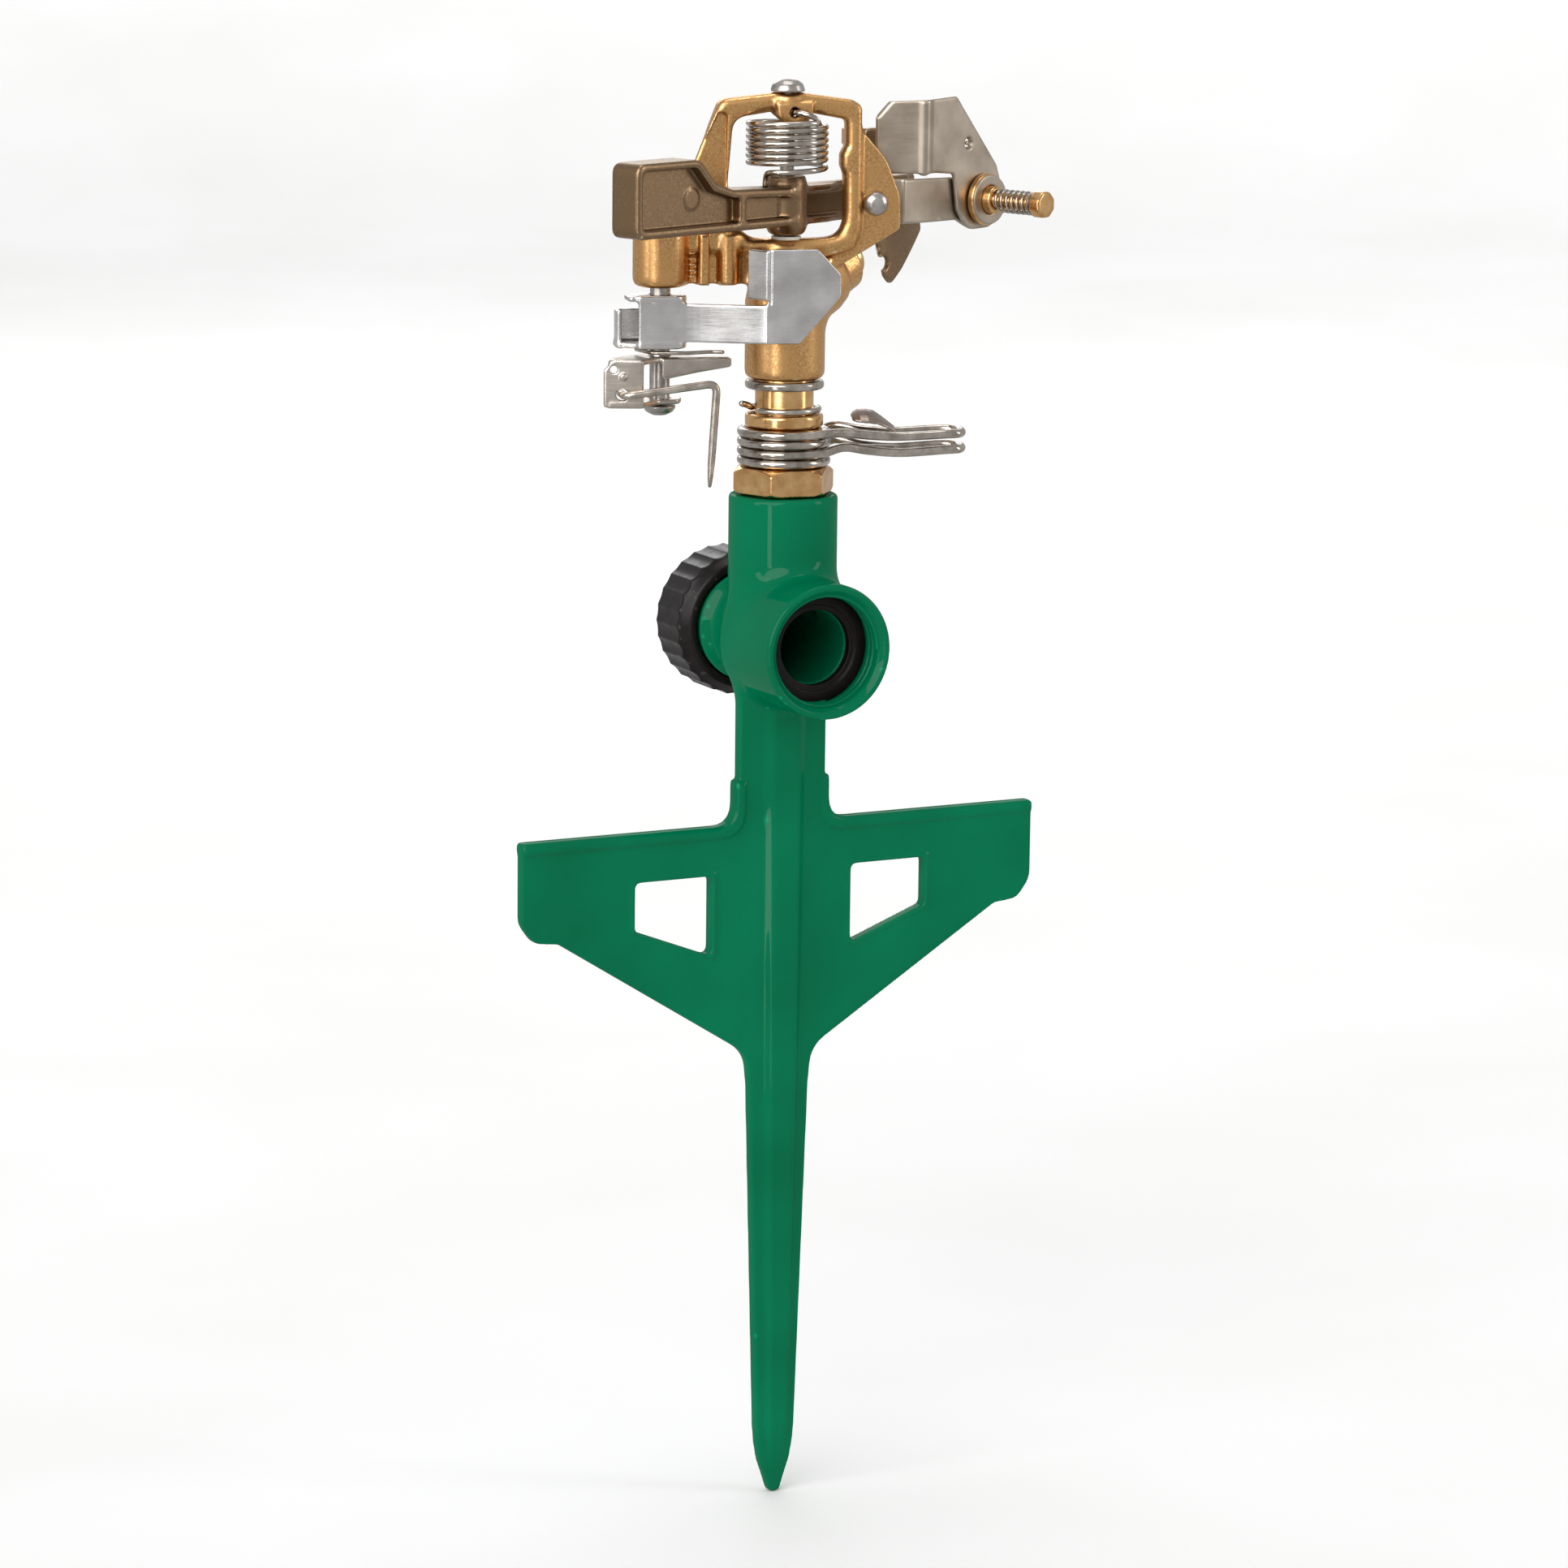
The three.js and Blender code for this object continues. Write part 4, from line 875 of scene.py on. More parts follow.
def spike_rib(block):
    """The rib down the middle: a flat face with hollow flanks, narrowing to the tip."""
    heights = [SPIKE_TIP + 0.5, -154, -66, -30, 10, 43]
    z = block.z
    face = np.interp(z, heights, [0.5, 2.3, 3.3, 3.4, 3.4, 3.4])
    depth = np.interp(z, heights, [0.9, 3.5, 4.1, 4.1, 4.1, 4.1])
    foot = np.interp(z, heights, [0.9, 4.9, 7.6, 9.6, 11, 11.2])
    skin = PLATE / 2 - 0.4
    waist = face + (foot - face) * 0.3
    waist_depth = skin + (depth - skin) * 0.4
    across = np.abs(block.x)
    steep = depth + (waist_depth - depth) * (across - face) / (waist - face)
    shallow = waist_depth + (skin - waist_depth) * (across - waist) / (foot - waist)
    rise = np.where(across < face, depth, np.where(across < waist, steep, shallow))
    field = (np.abs(block.y) - rise) * 0.8
    bound = np.maximum(across - foot, np.maximum(z - heights[-1], heights[0] - z))
    return np.maximum(field, bound).astype(np.float32)


def thread(angle, h, pitch, start, end, depth):
    """How far a screw thread stands out at an angle and a place along its axis."""
    wave = np.cos(2 * math.pi * (h / pitch - angle / (2 * math.pi)))
    fade = np.clip(np.minimum(h - start, end - h) / 0.6, 0, 1)
    return depth * np.clip(wave * 1.3 + 0.1, 0, 1) * fade


def spike_base():
    """One casting: the spike with its wings and rib, the riser and the tee."""
    block = Block("spike_base", 0.44)
    field = np.full(block.shape, 9, np.float32)
    thin = block.window(y=(-9, 9))
    sill, bead = PLATE / 2 + 0.45, 2.5

    def layer(line, half, soft=0.0):
        return raised(polygon_distance(line, thin.x, thin.z), thin.y, -half, half, soft)

    plate = layer(blade_outline(), PLATE / 2, 0.6)
    for side in (1, -1):
        plate = join(plate, layer(window_outline(side, 1.3), sill, 0.4), 0.4)
    for side in (1, -1):
        plate = carve(plate, layer(window_outline(side), 9), 0.7)
        plate = join(plate, layer(rim_outline(side), bead, 1.3), 0.5)
    field[thin.place] = join(plate, spike_rib(thin), 1)
    top = block.window(z=(26, 99))
    tube = upright(top, 0, 0, TUBE, TEE - 6, 81.2, 0.9)
    r, h = along_line(top, (0, 0, TEE), BACK)
    tee = turned_distance([
        [0, INLET], [15.7, INLET], [16.3, INLET + 0.3], [16.5, INLET + 0.9], [16.5, 0], [13.1, 6.5],
        [11, 10], [11.6, 15], [13.8, 17.2], [13.8, 18.1], [13, 18.3], [13, OUTLET - 0.8],
        [12.2, OUTLET], [0, OUTLET],
    ], r, h)
    casting = join(join(tube, tee, 4.5), field[top.place], 4)
    hollow = turned_distance([
        [0, INLET - 2], [15.2, INLET - 2], [15.2, INLET], [SOCKET, INLET + 1.8], [SOCKET, SEAT],
        [WATERWAY, SEAT], [WATERWAY, 31], [0, 31],
    ], r, h)
    casting = carve(casting, hollow, 0.5)
    casting = carve(casting, upright(top, 0, 0, 8.2, TEE, 63), 0.6)
    casting = carve(casting, upright(top, 0, 0, 10.3, 62, 90), 0.5)
    field[top.place] = casting
    field = np.maximum(field, np.maximum(np.abs(block.x) - WING + 0.01, SPIKE_TIP - block.z))
    piece = sampled("cast_base", block, field, 2, 0.4)
    finished(piece, "enamel", "base", "enamel", "spike_base")


def socket_thread():
    """The ridge of the thread inside the hose inlet."""
    pitch, turns, ridge, radius = 1.9, 2.8, 1.3, SOCKET + 0.05
    helix = [
        [radius * math.cos(a), INLET + 2 + pitch * a / (2 * math.pi), TEE + radius * math.sin(a)]
        for a in np.radians(10 * np.arange(int(turns * 36) + 1))
    ]
    finished(wire("socket_thread", helix, ridge, 10), "enamel", "base", "enamel", "spike_base")


def outlet_cap():
    """The screw cap: a cup with 28 sharp ridges and a shallow flute between each two."""
    block = Block("outlet_cap", 0.22)
    r, h = along_line(block, (0, 0, TEE), BACK)
    front, back, wall, inner = 18.4, block.high[1], 3.2, 14
    ribs, ridge, flute = 28, 18.2, 0.5
    share = np.arctan2(block.x, block.z - TEE) * ribs / (2 * math.pi)
    share = np.abs((share + 0.5) % 1 - 0.5) * 2
    grip = r - ridge + flute * (1 - (1 - share) ** 2)
    cup = turned_distance([
        [0, front], [15.2, front], [15.9, front + 0.3], [17.3, front + 2.2], [ridge + 0.3, front + 3.4],
        [ridge + 0.3, back - 0.8], [ridge - 0.5, back - 0.1], [ridge - 1.2, back], [0, back],
    ], r, h)
    cup = common(cup, grip, 0.25)
    cup = carve(cup, raised(r - inner, h, front - 2, back - wall), 0.5)
    piece = sampled("ribbed_cap", block, cup, 1, 0.6)
    finished(piece, "plastic", "cap", "black_plastic", "outlet_cap")


# ---------------------------------------------------------------- bearing and collars
def bearing_sleeve():
    """The hexagon and the neck above it with its rim, in one."""
    block = Block("bearing_sleeve", 0.22)
    r, h = along_line(block, (0, 0, 0), UP)
    low, high, across, bore, top = 81.6, 88.2, 11.0, 7.5, 100.9
    corner = across / math.cos(math.pi / 6)
    turns = np.radians(60 * np.arange(6) - 10)
    hexagon = np.c_[np.cos(turns), np.sin(turns)] * corner
    nut = raised(polygon_distance(hexagon, block.x, block.y), h, low, high, 0.25)
    chamfer = turned_distance([
        [0, low - 1], [across - 0.2, low - 1], [corner + 0.1, low + 1], [corner + 0.1, high - 1.6],
        [across - 0.4, high], [0, high],
    ], r, h)
    nut = common(nut, chamfer, 0.3)
    body = turned_distance([
        [0, 69], [10, 69], [10, low + 1], [8.9, high - 1], [8.9, 97.5], [9.2, 97.7], [9.5, 98.2],
        [9.5, 100.4], [9.1, top], [0, top],
    ], r, h)
    sleeve = carve(join(nut, body, 0.4), r - bore, 0.3)
    piece = sampled("hexagon_sleeve", block, sleeve, 1, 0.5)
    finished(piece, "turned_brass", "base", "turned_brass", "bearing_sleeve")


def round_the_axis(angle, r, z):
    """A point at an angle and radius round the turning axis."""
    a = math.radians(angle)
    return [r * math.cos(a), r * math.sin(a), z]


def retaining_ring():
    r, z = 8.3, 101.95
    points = [round_the_axis(a, r, z) for a in range(215, 516, 20)]
    points += [round_the_axis(519, r * 1.1, z + 0.5), round_the_axis(524, r * 1.24, z + 0.9)]
    piece = wire("snap_ring", smooth_line(points, 4), 1.6, 12, HEAD_TURN)
    finished(piece, "spring", "head", "spring_steel", "retaining_ring")


def friction_collar(name, low, lifts, body):
    """Two turns of wire round the sleeve, one above the other, joined by a finger loop. lifts are the
    finger's heights over the upper turn, from the sleeve outwards."""
    radius, pitch, reach, half = 10.3, 2.3, 43.8, 4.6
    leave, free_end, step = 74, 398, 27
    upper = low + pitch
    leg = [
        [13.6, 6.8, lifts[0]], [20, 5, lifts[1]], [28, half, lifts[2]],
        [reach - 5, half, lifts[3]], [reach - 1.1, half * 0.7, lifts[3]],
    ]
    points = [round_the_axis(a, radius, upper) for a in range(-free_end, -leave + 1, step)]
    points.append([8.2, -8.9, upper + 0.3])
    points += [[x, -y, upper + lift] for x, y, lift in leg]
    points.append([reach, 0, upper + lifts[3] + 0.1])
    points += [[x, y, upper + lift + 0.1] for x, y, lift in reversed(leg)]
    points.append([8.2, 8.9, low + 0.2])
    points += [round_the_axis(a, radius, low) for a in range(leave, free_end + 1, step)]
    piece = wire(name + "_wire", smooth_line(points, 5), COLLAR_WIRE, 16, HEAD_TURN)
    finished(piece, "spring", body, "spring_steel", name)


def finger_leaf(name, z, lift, slant, body):
    """The small curled leaf of sheet between a finger's wires."""
    block = Block(name, 0.15, HEAD_TURN)
    along = [16.6, 17.2, 18.4, 20.4, 22.4, 24, 25.6, 27.4]
    rise = lift * np.interp(block.x, along, [0.8, 0.88, 1, 1, 0.9, 0.64, 0.34, 0])
    width = 3.1 * np.interp(block.x, along, [0.35, 0.66, 0.92, 1, 0.94, 0.78, 0.55, 0.4])
    hollow = 0.06 * block.y * block.y
    sheet = (np.abs(block.z - z - rise - 0.25 - slant * block.y + hollow) - 0.3) * 0.85
    edge = np.maximum(np.abs(block.y) - width, np.abs(block.x - 22) - 5.4)
    piece = sampled(name + "_sheet", block, np.maximum(sheet, edge).astype(np.float32), 1, 0.6)
    finished(piece, "leaf_sheet", body, "stainless_sheet", name)


# ---------------------------------------------------------------- brass head
def nozzle_line(turn):
    """A point and a direction on the nozzle's axis, in a frame turned from the wings' plane."""
    a, rise = math.radians(STREAM - turn), math.radians(NOZZLE_RISE)
    return (0, 0, NOZZLE_ROOT), (math.cos(a) * math.cos(rise), math.sin(a) * math.cos(rise), math.sin(rise))


def bridge_loop(block):
    """The arch over the arm: a bar round an opening, with a thinner web in its left leg."""
    bar, peak, left_foot = 4.2, 178.1, 22
    outer = side_view(block, [
        [BRIDGE + 2.1, FLOOR, 7], [BRIDGE + 2.1, ROOF - 1.2, 3], [BRIDGE - 0.4, ROOF + 0.2, 2],
        [3, peak, 4], [-3, peak, 4], [-BRIDGE - 0.8, ROOF + 0.4, 3],
        [-left_foot - 7.2, FLOOR + 4.6, 2], [-left_foot - 7.2, FLOOR, 0],
    ])
    inner = side_view(block, [
        [BRIDGE - 1.9, FLOOR + 2.4, 7], [BRIDGE - 1.9, 158.6, 2], [BRIDGE - 3.1, 160.6, 1.6],
        [BRIDGE - 3.1, 163.4, 1.6], [BRIDGE - 1.9, 165.6, 2], [BRIDGE - 1.9, ROOF - 4.6, 3],
        [BRIDGE - 4, ROOF - 4.2, 1], [3, peak - bar - 0.2, 3], [-3, peak - bar - 0.2, 3],
        [-BRIDGE + 2.6, ROOF - 4.2, 4], [-BRIDGE + 1.4, 157, 0], [-BRIDGE + 2.6, 148, 3],
        [-BRIDGE + 6.8, FLOOR + 2.4, 2],
    ])
    loop = carve(raised(outer, block.y, -2.8, 2.8, 1.6), inner, 2.4)
    thin = side_view(block, [
        [-BRIDGE + 0.8, 150, 0], [-BRIDGE + 0.8, 173.4, 2], [-BRIDGE - 1.2, 173.4, 1],
        [-left_foot - 2.2, 158, 0], [-left_foot - 4, 150, 0],
    ])
    return carve(loop, np.maximum(thin, 1 - np.abs(block.y)), 0.8)


def head_body():
    """The post with its nozzle elbow, the bridge and its quadrant, and the lug with its web."""
    block = Block("head_body", 0.32, HEAD_TURN)
    r, h = along_line(block, (0, 0, 0), UP)
    post = turned_distance([
        [0, 109.3], [8, 109.3], [9.1, 109.8], [9.6, 110.6], [9.7, 111.6], [9.7, 128], [8.7, 133],
        [7, 138], [4, 141.5], [0, 141.5],
    ], r, h)
    nozzle_r, nozzle_h = along_line(block, *nozzle_line(HEAD_TURN))
    nose = turned_distance([
        [0, -4], [6.4, -4], [8.8, 0], [8.8, 12], [8.2, 15], [7.2, 16.4], [7.2, 21.4], [6.6, 22], [0, 22],
    ], nozzle_r, nozzle_h)
    casting = join(post, nose, 3)
    quadrant = flat_part(block, [
        [10, 136, 0], [14.4, 137.1, 0], [27.9, 145.3, 1.6], [27.7, 153.4, 8], [24.3, 162, 12],
        [17, 170.4, 1], [14, 160, 0], [15, 146, 0],
    ], -1.1, 1.3, 0.5)
    root = flat_part(block, [
        [-9, 139, 0], [10, 139, 0], [16, 141.4, 0], [16, 143, 0], [-9, 142.6, 0],
    ], -2.4, 2.4, 0.6)
    web = flat_part(block, [
        [LUG, 132.6, 0], [-6, 132.2, 0], [-6, 142.8, 0], [-14, 144.8, 0], [LUG, 144.8, 0],
    ], -1.1, 1.1, 0.4)
    casting = join(casting, join(root, web, 1), 2)
    casting = join(casting, join(bridge_loop(block), quadrant, 1.6), 1.8)
    lug_r, lug_h = along_line(block, (LUG, 0, 0), UP)
    lug = turned_distance([
        [0, 131.8], [5, 131.8], [6.1, 132.3], [6.6, 133.2], [6.7, 134.4], [6.7, 145], [6, 146], [0, 146],
    ], lug_r, lug_h)
    casting = joined(
        casting,
        (lug, 1.2),
        (upright(block, -14.4, -1.8, 2.3, 132.2, 144.6, 0.8), 1.4),
        (flat_part(block, [
            [-21.9, 132.3], [-19.3, 132.3], [-19.5, 144.6], [-21.7, 144.6],
        ], -4.6, 4.6, 0.7), 0.9),
        (flat_part(block, [
            [-3.4, 176, 0], [-3, 172.3, 2], [-0.9, 170.2, 2], [3.6, 170.2, 2], [5.6, 173, 2], [5.8, 176, 0],
        ], -4.2, -1.2, 0.8), 1.2),
        (upright(block, 0, 0, 3.6, 172.6, 177.4, 0.4), 1.2),
        (cross_rod(block, *RIVET, 3.7, -1.2, 1.6, 0.3), 0.4),
        (flat_part(block, [[15, 164.8], [17.4, 164.8], [17.4, 169], [15, 169]], 0, 9.5, 0.5), 1),
    )
    teeth, tooth_pitch = 7, 1.4
    for k in range(teeth):
        tooth = rod(block, (-23.3, -2.3, 134.4 + tooth_pitch * k), (1, 0, 0), 0.45, -0.8, 0.8, 0.2)
        casting = join(casting, tooth, 0.3)
    casting = drilled(
        casting, 0.35,
        upright(block, 0, 0, 7.4, 100, 117.8),
        upright(block, 0, 0, 4.6, 117, 128),
        upright(block, 0, 0, PIN_HOLE, 138.5, 190),
        upright(block, LUG, 0, SHAFT_HOLE, 125, 141.3),
        cross_rod(block, 1.1, 173.6, 1.2, -6, -0.6),
        cross_rod(block, *RIVET, RIVET_HOLE, -6, 6),
        raised(nozzle_r - 4.2, nozzle_h, -1, 23),
    )
    piece = sampled("cast_head", block, casting, 2, 0.35)
    finished(piece, "cast_brass", "head", "cast_brass", "head_body")


# ---------------------------------------------------------------- arm
def spoon(block):
    """The curved vane in the jet, lower tip rounded, with its notch."""
    silhouette = side_view(block, [
        [31.4, 156, 0], [29.8, 144, 1], [30.2, 141, 1], [33.4, 131.6, 1.8], [35.8, 129.4, 1.6],
        [40.6, 132.8, 1.5], [50.2, 141.6, 2.2], [48.8, 148, 1], [46, 156, 0],
    ])
    share = np.clip((block.x - 33.2) / 16, 0, 1)
    curve = -1.8 + 3 * share ** 1.6
    vane = common(np.abs(block.y - curve) - 0.8, silhouette, 0.8)
    return carve(vane, cross_rod(block, 33, 135, 1.5, -9, 9), 0.7)


def arm():
    """The counterweight with its pocket, the boss on the pin, the beam and the spoon."""
    block = Block("arm", 0.3, STREAM)
    half, web = 4.5, 1.6
    body = flat_part(block, [
        [-56, 146.5, 2.6], [-56, 164.3, 2.8], [-34.6, 164.3, 3.8], [-29, 158.4, 3.4], [-23, 156.4, 2.4],
        [0, 155.6, 0], [0, 146.5, 0],
    ], -half, half, 0.9)
    pocket = side_view(block, [
        [-54.1, 148.5, 1.8], [-54.1, 162.4, 1.8], [-35.6, 162.4, 2.8], [-30, 156.5, 2.8],
        [-23, 154.5, 1.2], [-20.9, 154.4, 1.2], [-20.9, 148.5, 1.2],
    ])
    channel = side_view(block, [[-18.7, 148.5, 1.2], [-18.7, 154.2, 1.2], [0, 153.5, 0], [0, 148.5, 0]])
    body = carve(body, np.maximum(np.minimum(pocket, channel), web - np.abs(block.y)), 0.7)
    body = join(body, cross_rod(block, -35, 154.8, 2.6, -web - 0.25, web + 0.25, 0.12))
    r, h = along_line(block, (0, 0, 0), UP)
    boss = turned_distance([
        [0, 144], [3.4, 144], [4.3, 144.5], [4.9, 145.7], [4.9, 156.6], [4.4, 158.2], [0, 158.2],
    ], r, h)
    body = join(body, boss, 1)
    beam = flat_part(block, [
        [0, 146.6, 0], [33, 146.6, 0], [36, 148, 0], [36, 154, 0], [30, 156.2, 2], [0, 155.6, 0],
    ], -1.2, 1.2, 0.3)
    for low, high in ((146.5, 148.2), (154, 155.7)):
        beam = join(beam, level_part(block, [
            [0, -4, 0], [12, -3.4, 1], [19, -1.1, 1], [33, -1.1, 0], [33, 3.2, 0], [14, 4, 2], [0, 4, 0],
        ], low, high, 0.5), 0.7)
    horn = flat_part(block, [[24, 155, 0], [36, 155, 0], [33, 168, 1], [27.4, 168, 1]], -1.2, 1.2, 0.5)
    roof = level_part(block, [
        [31, -2.8, 0], [33.4, -2.8, 0.6], [42, -1.8, 1], [46.6, 1.9, 1], [40, 3.2, 1], [31, 2.6, 0],
    ], 154.4, 156, 0.5)
    body = joined(body, (beam, 0.8), (spoon(block), 0.8), (horn, 0.8), (roof, 0.7))
    spring_hole = upright(block, -7.6, 0, 1.1, 150, 160)
    body = drilled(body, 0.3, upright(block, 0, 0, PIN_HOLE, 140, 160), spring_hole)
    piece = sampled("impact_arm", block, body, 1, 0.4)
    finished(piece, "bronze", "arm", "bronze", "arm")


def arm_spring():
    """Close turns, one loose turn below, a tail in the bridge's lug and a hook in the arm."""
    radius, close_turns, thick = 9.3, 6, 1.4
    top, loose, low = 171.3, 161.8, 159.6
    hook, leave = 217, 314
    start = hook + 24
    sweep = leave - start + 360 * (close_turns + 1)
    points = [round_the_axis(hook + a, r, z) for a, r, z in ((0, 7.6, 156.2), (2, 7.7, 158), (9, 8.4, 159.2))]
    for share in np.arange(int(sweep / 15) + 1) / int(sweep / 15):
        z = np.interp(share, [0, 360 / sweep, 1], [low, loose, top])
        points.append(round_the_axis(start + sweep * share, radius, z))
    points += [[5.2, -6.9, 172.6], [2.6, -6.2, 173.5]]
    points += [[1.3, -5.0, 173.6], [1.1, -3.4, 173.6], [1.1, -1.2, 173.6]]
    piece = wire("torsion_spring", smooth_line(points, 2), thick, 12, HEAD_TURN)
    finished_spring(piece, "arm_spring", ("head", "arm"), (0, 0, 0.1712), (0, 0, 0.1602))


# ---------------------------------------------------------------- trip mechanism
def reversing_lever():
    """A box of sheet round the shaft, with a pocket on its left and a strap to the polished cheek."""
    block = Block("reversing_lever", 0.24, HEAD_TURN)
    low, high = 117.6, 130
    lever = bent_part(block, smooth_line([
        [-36.3, -6.5], [-33, -6.6], [-28.4, -6.6], [-26.4, -6.0], [-25.6, -4.4],
    ], 4), low, high)
    top_flange = [
        [-39.2, -6.6, 1], [-27.4, -7.1, 1], [-25.2, -4.4, 2], [-26, 4.4, 3], [-35, 4.4, 3], [-39.4, 0, 1],
    ]
    bottom_flange = [[-41.6, -4, 1.4], [-36, -6.9, 1], *top_flange[1:-1], [-41.6, 2.2, 1.4]]
    for corners, z in ((bottom_flange, low), (top_flange, high - SHEET)):
        lever = join(lever, level_part(block, corners, z, z + SHEET, 0.3), 1)
    pocket = bent_part(block, smooth_line([
        [-35.2, 1.7], [-40, 1.7], [-41.0, 0.9], [-41.1, -1], [-41.1, -3.6],
    ], 4), low, 126.4)
    lever = join(lever, pocket, 0.9)
    strap = sheet_along(block, smooth_line([
        [-27, -5.6], [-22, -6.8], [-8, -11.6], [-5, -12.2], [11.3, -12.2],
    ], 5))
    cheek = side_view(block, [
        [-30, 119, 0], [1.3, 119, 1], [11.3, 130.4, 1], [11.1, 135.8, 1], [5.6, 141.7, 1],
        [-6.4, 141.7, 0.6], [-6.4, 128.3, 1.6], [-30, 128.3, 0],
    ])
    lever = join(lever, common(strap, cheek, 0.45), 0.7)
    lip = level_part(block, [[-6.9, -12.8], [-5.6, -12.8], [-9.6, -8.4], [-10.9, -8.4]], 129.5, 141.4, 0.3)
    lever = join(lever, lip, 0.5)
    lever = carve(lever, upright(block, -6, -13, 0.5, 128.6, 142, 0.1), 0.15)
    lever = carve(lever, upright(block, LUG, 0, SHAFT_HOLE, 110, 135), 0.2)
    piece = sampled("lever_sheet", block, lever, 2, 0.5)
    finished(piece, "lever", "lever", "stainless_sheet", "reversing_lever")


def trip_bracket():
    """Two level leaves on the shaft, joined by an ear that holds the trip wire."""
    block = Block("trip_bracket", 0.22, HEAD_TURN)
    low, high = 103.8, 114.0

    def leaf(z, end):
        return level_part(block, [
            [-44.6, -9.4, 1], [-36.6, -10.6, 1], [-31.6, -5.2, 3], *end, [-27, 4.2, 3], [-33.5, 4.8, 3],
            [-43, -3.4, 1],
        ], z, z + SHEET, 0.25)

    bracket = leaf(high, [[-24, -5, 3], [-14.4, -5.4, 1.4], [-14.4, -1.8, 1.4], [-23, -0.6, 3]])
    bracket = join(bracket, leaf(low, [[-26.4, -4.2, 2], [-25.2, 0, 2]]))
    ear = sheet_along(block, [[-45, -8.8], [-36.6, -10.4]])
    face = side_view(block, [
        [-45.8, low, 1.2], [-36, low, 0], [-36, high + SHEET, 1], [-43.2, high + SHEET, 1], [-45.8, 112.6, 1],
    ])
    bracket = join(bracket, common(ear, face, 0.4), 0.7)
    rib = sheet_along(block, [[-31, -5.6], [-24, -5.4], [-14.4, -5.4]], 1)
    taper = side_view(block, [
        [-31, 109.8, 1], [-31, 115, 0], [-14, 115, 0], [-13.9, 112.9, 1], [-22, 111.6, 3],
    ])
    bracket = join(bracket, common(rib, taper, 0.4), 0.6)
    bracket = join(bracket, rod(block, (-40.9, -9.6, 111.3), (-0.19, -0.98, 0), 0.8, -0.5, 1.5, 0.3), 0.3)
    bracket = drilled(
        bracket, 0.2,
        upright(block, LUG, 0, SHAFT_HOLE, 100, 118),
        cross_rod(block, *WIRE_PIVOT, 1.4, -20, -6),
        cross_rod(block, -43.2, 113, 0.9, -20, -7),
    )
    piece = sampled("bracket_sheet", block, bracket, 2, 0.5)
    finished(piece, "head_sheet", "trip", "stainless_sheet", "trip_bracket")


def trip_wire():
    """From its pivot in the ear it comes forward, runs right, and hangs down to a thin tip."""
    (x, z), front = WIRE_PIVOT, -13.2
    corners = [[x, -6.6, z], [x, front, z], [-18.8, front, 109.9], [-20.4, front, 85.2]]
    line = bent_line(corners, 2.6, WIRE_BEND)
    start = [line[0] + (line[1] - line[0]) * share for share in (0, 0.5)]
    tip = [line[-2] + (line[-1] - line[-2]) * share for share in (0.25, 0.5, 0.75, 0.9, 1)]

    def taper(share):
        return float(np.interp(share, [0, 0.75, 0.93, 1], [0.95, 1, 0.9, 0.45]))

    piece = wire("trip_rod", [*start, *line[1:-1], *tip], 1.95, 14, HEAD_TURN, taper)
    finished(piece, "head_wire", "trip_wire", "spring_steel", "trip_wire")


def toggle_spring():
    line = bent_line([
        [-36, 2.2, 116.4], [-33.4, -4.4, 116.3], [-25, -5.8, 116.3], [-19, -3.4, 116.3], [-16, -4.4, 116.3],
    ], 2.4, WIRE_BEND)
    piece = wire("over_centre_spring", line, 0.95, 10, HEAD_TURN)
    finished_spring(piece, "toggle_spring", ("head", "trip"), (0, 0, 0.1170), (0, 0, 0.1156))


# ---------------------------------------------------------------- deflector and diffuser screw
def deflector_strap():
    """The sheet arm from the rivet to the bush, bent from the bridge's plane into the stream's."""
    block = Block("deflector_strap", 0.24, STREAM)
    near, rivet, under = (rotated(RIVET[0] + x, 2.3, -STREAM_TURN) for x in (-3.4, 0, 4.4))
    y = STRAP_Y + 1
    sheet = sheet_along(block, smooth_line([near, under, [24.5, y + 0.4], [27, y], [52, y], [62, y]], 5))
    edge = side_view(block, [
        [near[0], 146.4, 5.4], [30, 146, 0], [43.4, 145.9, 2], [48, 143.6, 5], [55.4, 144.2, 5],
        [58.6, 150.6, 6], [55, 157.2, 5], [44, 156.4, 2], [near[0], 157.2, 5.4],
    ], 8)
    rivet_hole = rod(block, (*rivet, RIVET[1]), (*rotated(0, 1, -STREAM_TURN), 0), RIVET_HOLE, -9, 9)
    strap = drilled(common(sheet, edge, 0.45), 0.2, rivet_hole, cross_rod(block, *BUSH, BUSH_HOLE, -30, 0))
    piece = sampled("strap_sheet", block, strap, 2, 0.5)
    finished(piece, "stream_sheet", "deflector", "stainless_sheet", "deflector_strap")


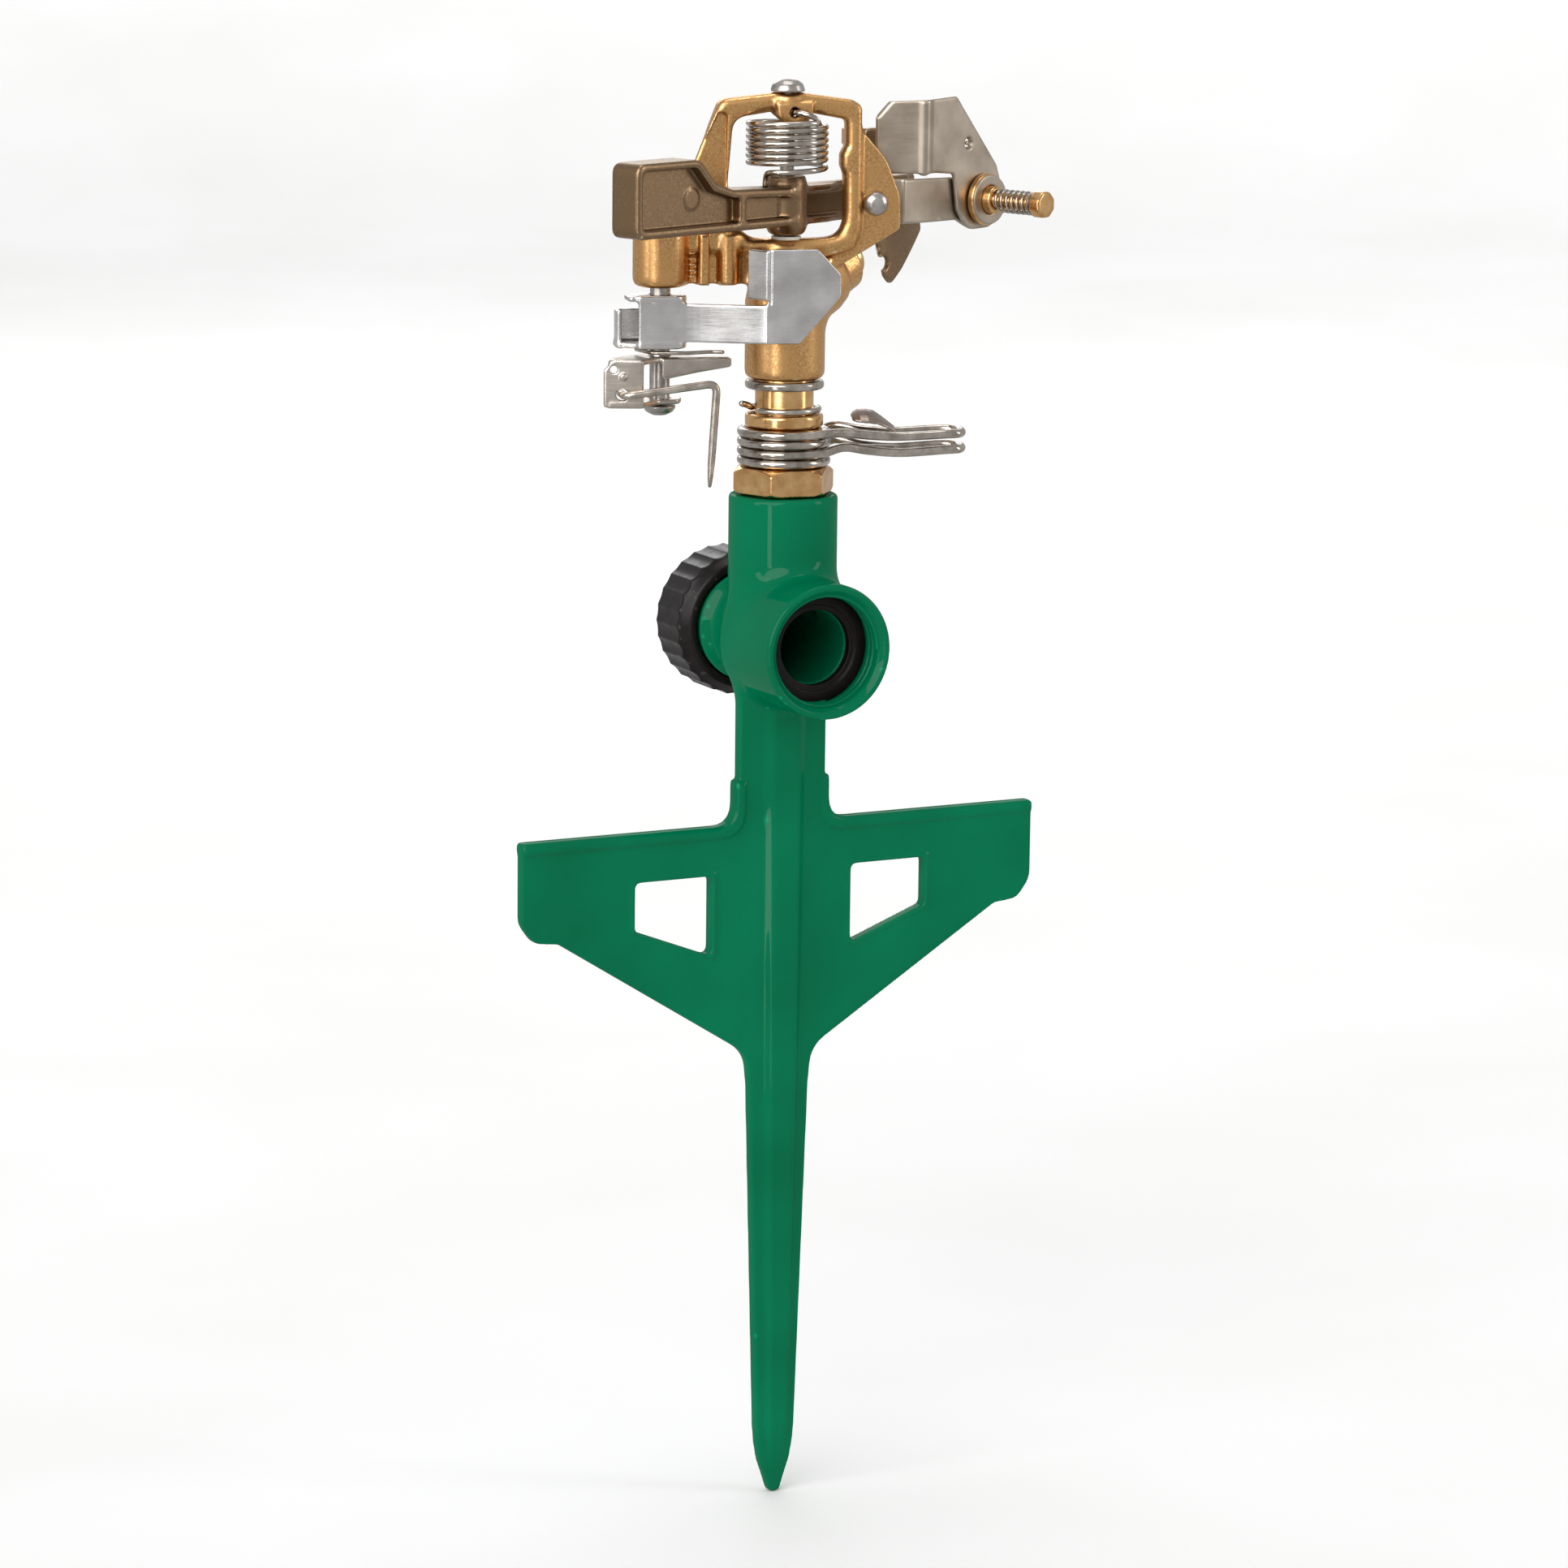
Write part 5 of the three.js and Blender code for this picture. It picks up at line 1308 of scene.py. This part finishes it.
def deflector_flag():
    """The sheet that bends the jet, with a crease near its left edge and a dimple."""
    block = Block("deflector_flag", 0.24, STREAM)
    front = STRAP_Y - 0.6
    sheet = sheet_along(block, smooth_line([
        [22.2, -9.4], [28.2, -15.6], [29.4, -17.0], [30.6, front - 0.35], [32, front - 0.1],
        [33.6, front], [62, front],
    ], 4))
    face = side_view(block, [
        [17.6, 158, 0], [17.6, 171.8, 0], [22, 171.8, 0], [24.2, 175.5, 0.6], [29.6, 175.8, 0.6],
        [41.2, 176.2, 1.2], [56.4, 158.8, 2], [59.2, 151.4, 5], [55.6, 143.6, 5], [46, 143.4, 5],
        [42, 148.4, 2], [40.6, 157.4, 1.5], [34, 158, 1],
    ])
    flag = common(sheet, face, 0.45)
    flag = join(flag, upright(block, 30, front + 0.15, 0.8, 157.6, 175.3, 0.4), 0.8)
    flag = carve(flag, cross_rod(block, *BUSH, BUSH_HOLE, -30, 0), 0.2)
    r, h = along_line(block, (45.7, front - 0.6, 164.6), BACK)
    dimple, pip = np.hypot(r, h) - 1.45, np.hypot(r, h - 0.75) - 0.6
    flag = join(carve(flag, dimple, 0.25), pip, 0.1)
    piece = sampled("flag_sheet", block, flag, 2, 0.5)
    finished(piece, "stream_sheet", "deflector", "stainless_sheet", "deflector_flag")


def bush_facing():
    """The grey steel ring on the front of the bush's flange."""
    block = Block("diffuser_bush", 0.16, STREAM)
    r, h = along_line(block, (BUSH[0], 0, BUSH[1]), FRONT)
    face = -STRAP_Y + 3.4
    ring = raised(np.abs(r - 4.8) - 1.25, h, face - 0.2, face + 0.4, 0.25)
    piece = sampled("flange_facing", block, ring, 1, 0.6)
    finished(piece, "stream_sheet", "deflector", "stainless_sheet", "diffuser_bush")


def diffuser_screw():
    block = Block("diffuser_screw", 0.13, STREAM)
    r, h = along_line(block, (BUSH[0], 0, BUSH[1]), FRONT)
    angle = np.arctan2(block.z - BUSH[1], block.x - BUSH[0])
    head, tip, pitch, depth = 38.6, 7.5, 0.8, 0.22
    shank = turned_distance([
        [0, tip], [1, tip], [1.9, tip + 1.6], [1.9, head - 3], [0, head - 3],
    ], r, h) + depth - thread(angle, h, pitch, tip + 1.5, head - 3.4, depth)
    flats = np.radians(22.5 + 45 * np.arange(8))
    octagon = np.c_[np.cos(flats), np.sin(flats)] * 3.46
    knob = raised(polygon_distance(octagon, block.x - BUSH[0], block.z - BUSH[1]), h, head - 3.4, head, 0.7)
    piece = sampled("screw_body", block, join(shank, common(knob, r - 3.3, 0.3), 0.2), 1, 0.4)
    finished(piece, "stream_brass", "screw", "turned_brass", "diffuser_screw")


def diffuser_spring():
    coils, radius, per_coil = 6, 2.6, 16
    low, high = 23.7, 33.7
    points = []
    for k in range(coils * per_coil + 1):
        a = math.radians(k * 360 / per_coil)
        y = low + (high - low) * k / (coils * per_coil)
        points.append([BUSH[0] + radius * math.cos(a), -y, BUSH[1] + radius * math.sin(a)])
    piece = wire("diffuser_coil", points, 0.7, 8, STREAM)
    ends = [(*rotated(BUSH[0] * MM, -y * MM, STREAM), BUSH[1] * MM) for y in (low, high)]
    finished_spring(piece, "diffuser_spring", ("deflector", "screw_seat"), *ends)


# ---------------------------------------------------------------- turned pieces
def turned_pieces():
    """Each row: the node, its axis, its look, body and slot, and how round its corners are."""
    axis = ((0, 0, 0), UP)
    tee = ((0, 0, TEE), BACK)
    shaft = ((*rotated(LUG, 0, HEAD_TURN), 0), UP)
    rivet = ((*rotated(RIVET[0], 0, HEAD_TURN), RIVET[1]), (*rotated(0, 1, HEAD_TURN), 0))
    bush = ((*rotated(BUSH[0], 0, STREAM), BUSH[1]), (*rotated(0, 1, STREAM), 0))
    for node, line, look, body, slot, radius in (
        ("inlet_washer", tee, "rubber", "base", "black_rubber", 0.35),
        ("cap_washer", tee, "rubber", "cap_seat", "black_rubber", 0.2),
        ("seal_washer", axis, "rubber", "base", "black_rubber", 0.15),
        ("thrust_washer", axis, "nylon", "head", "nylon", 0.15),
        ("hub_washer", axis, "nylon", "head", "nylon", 0.15),
        ("bearing_stem", axis, "turned_brass", "head", "turned_brass", 0.25),
        ("dust_washer", axis, "spring", "head", "steel", 0.15),
        ("nozzle_tip", nozzle_line(0), "stream_brass", "head", "turned_brass", 0.2),
        ("fulcrum_pin", axis, "steel", "head", "steel", 0.35),
        ("trip_shaft", shaft, "steel", "head", "steel", 0.3),
        ("deflector_rivet", rivet, "steel", "head", "steel", 0.3),
        ("diffuser_bush", bush, "stream_brass", "deflector", "turned_brass", 0.25),
        ("screw_washer", bush, "steel", "screw_seat", "steel", 0.1),
    ):
        finished(turned(node + "_turned", node, *line, radius), look, body, slot, node)


spike_base()
socket_thread()
outlet_cap()
bearing_sleeve()
retaining_ring()
friction_collar("lower_collar", 89.5, [1.35, 0.25, -0.45, 0.1], "lower_stop")
friction_collar("upper_collar", 94.1, [0.2, -0.65, -1.1, -0.7], "upper_stop")
finger_leaf("lower_collar_tab", 92.1, 0.2, 0, "lower_stop")
finger_leaf("upper_collar_tab", 96.3, 3.8, 0.4, "upper_stop")
head_body()
arm()
arm_spring()
reversing_lever()
trip_bracket()
trip_wire()
toggle_spring()
deflector_strap()
deflector_flag()
bush_facing()
diffuser_screw()
diffuser_spring()
turned_pieces()
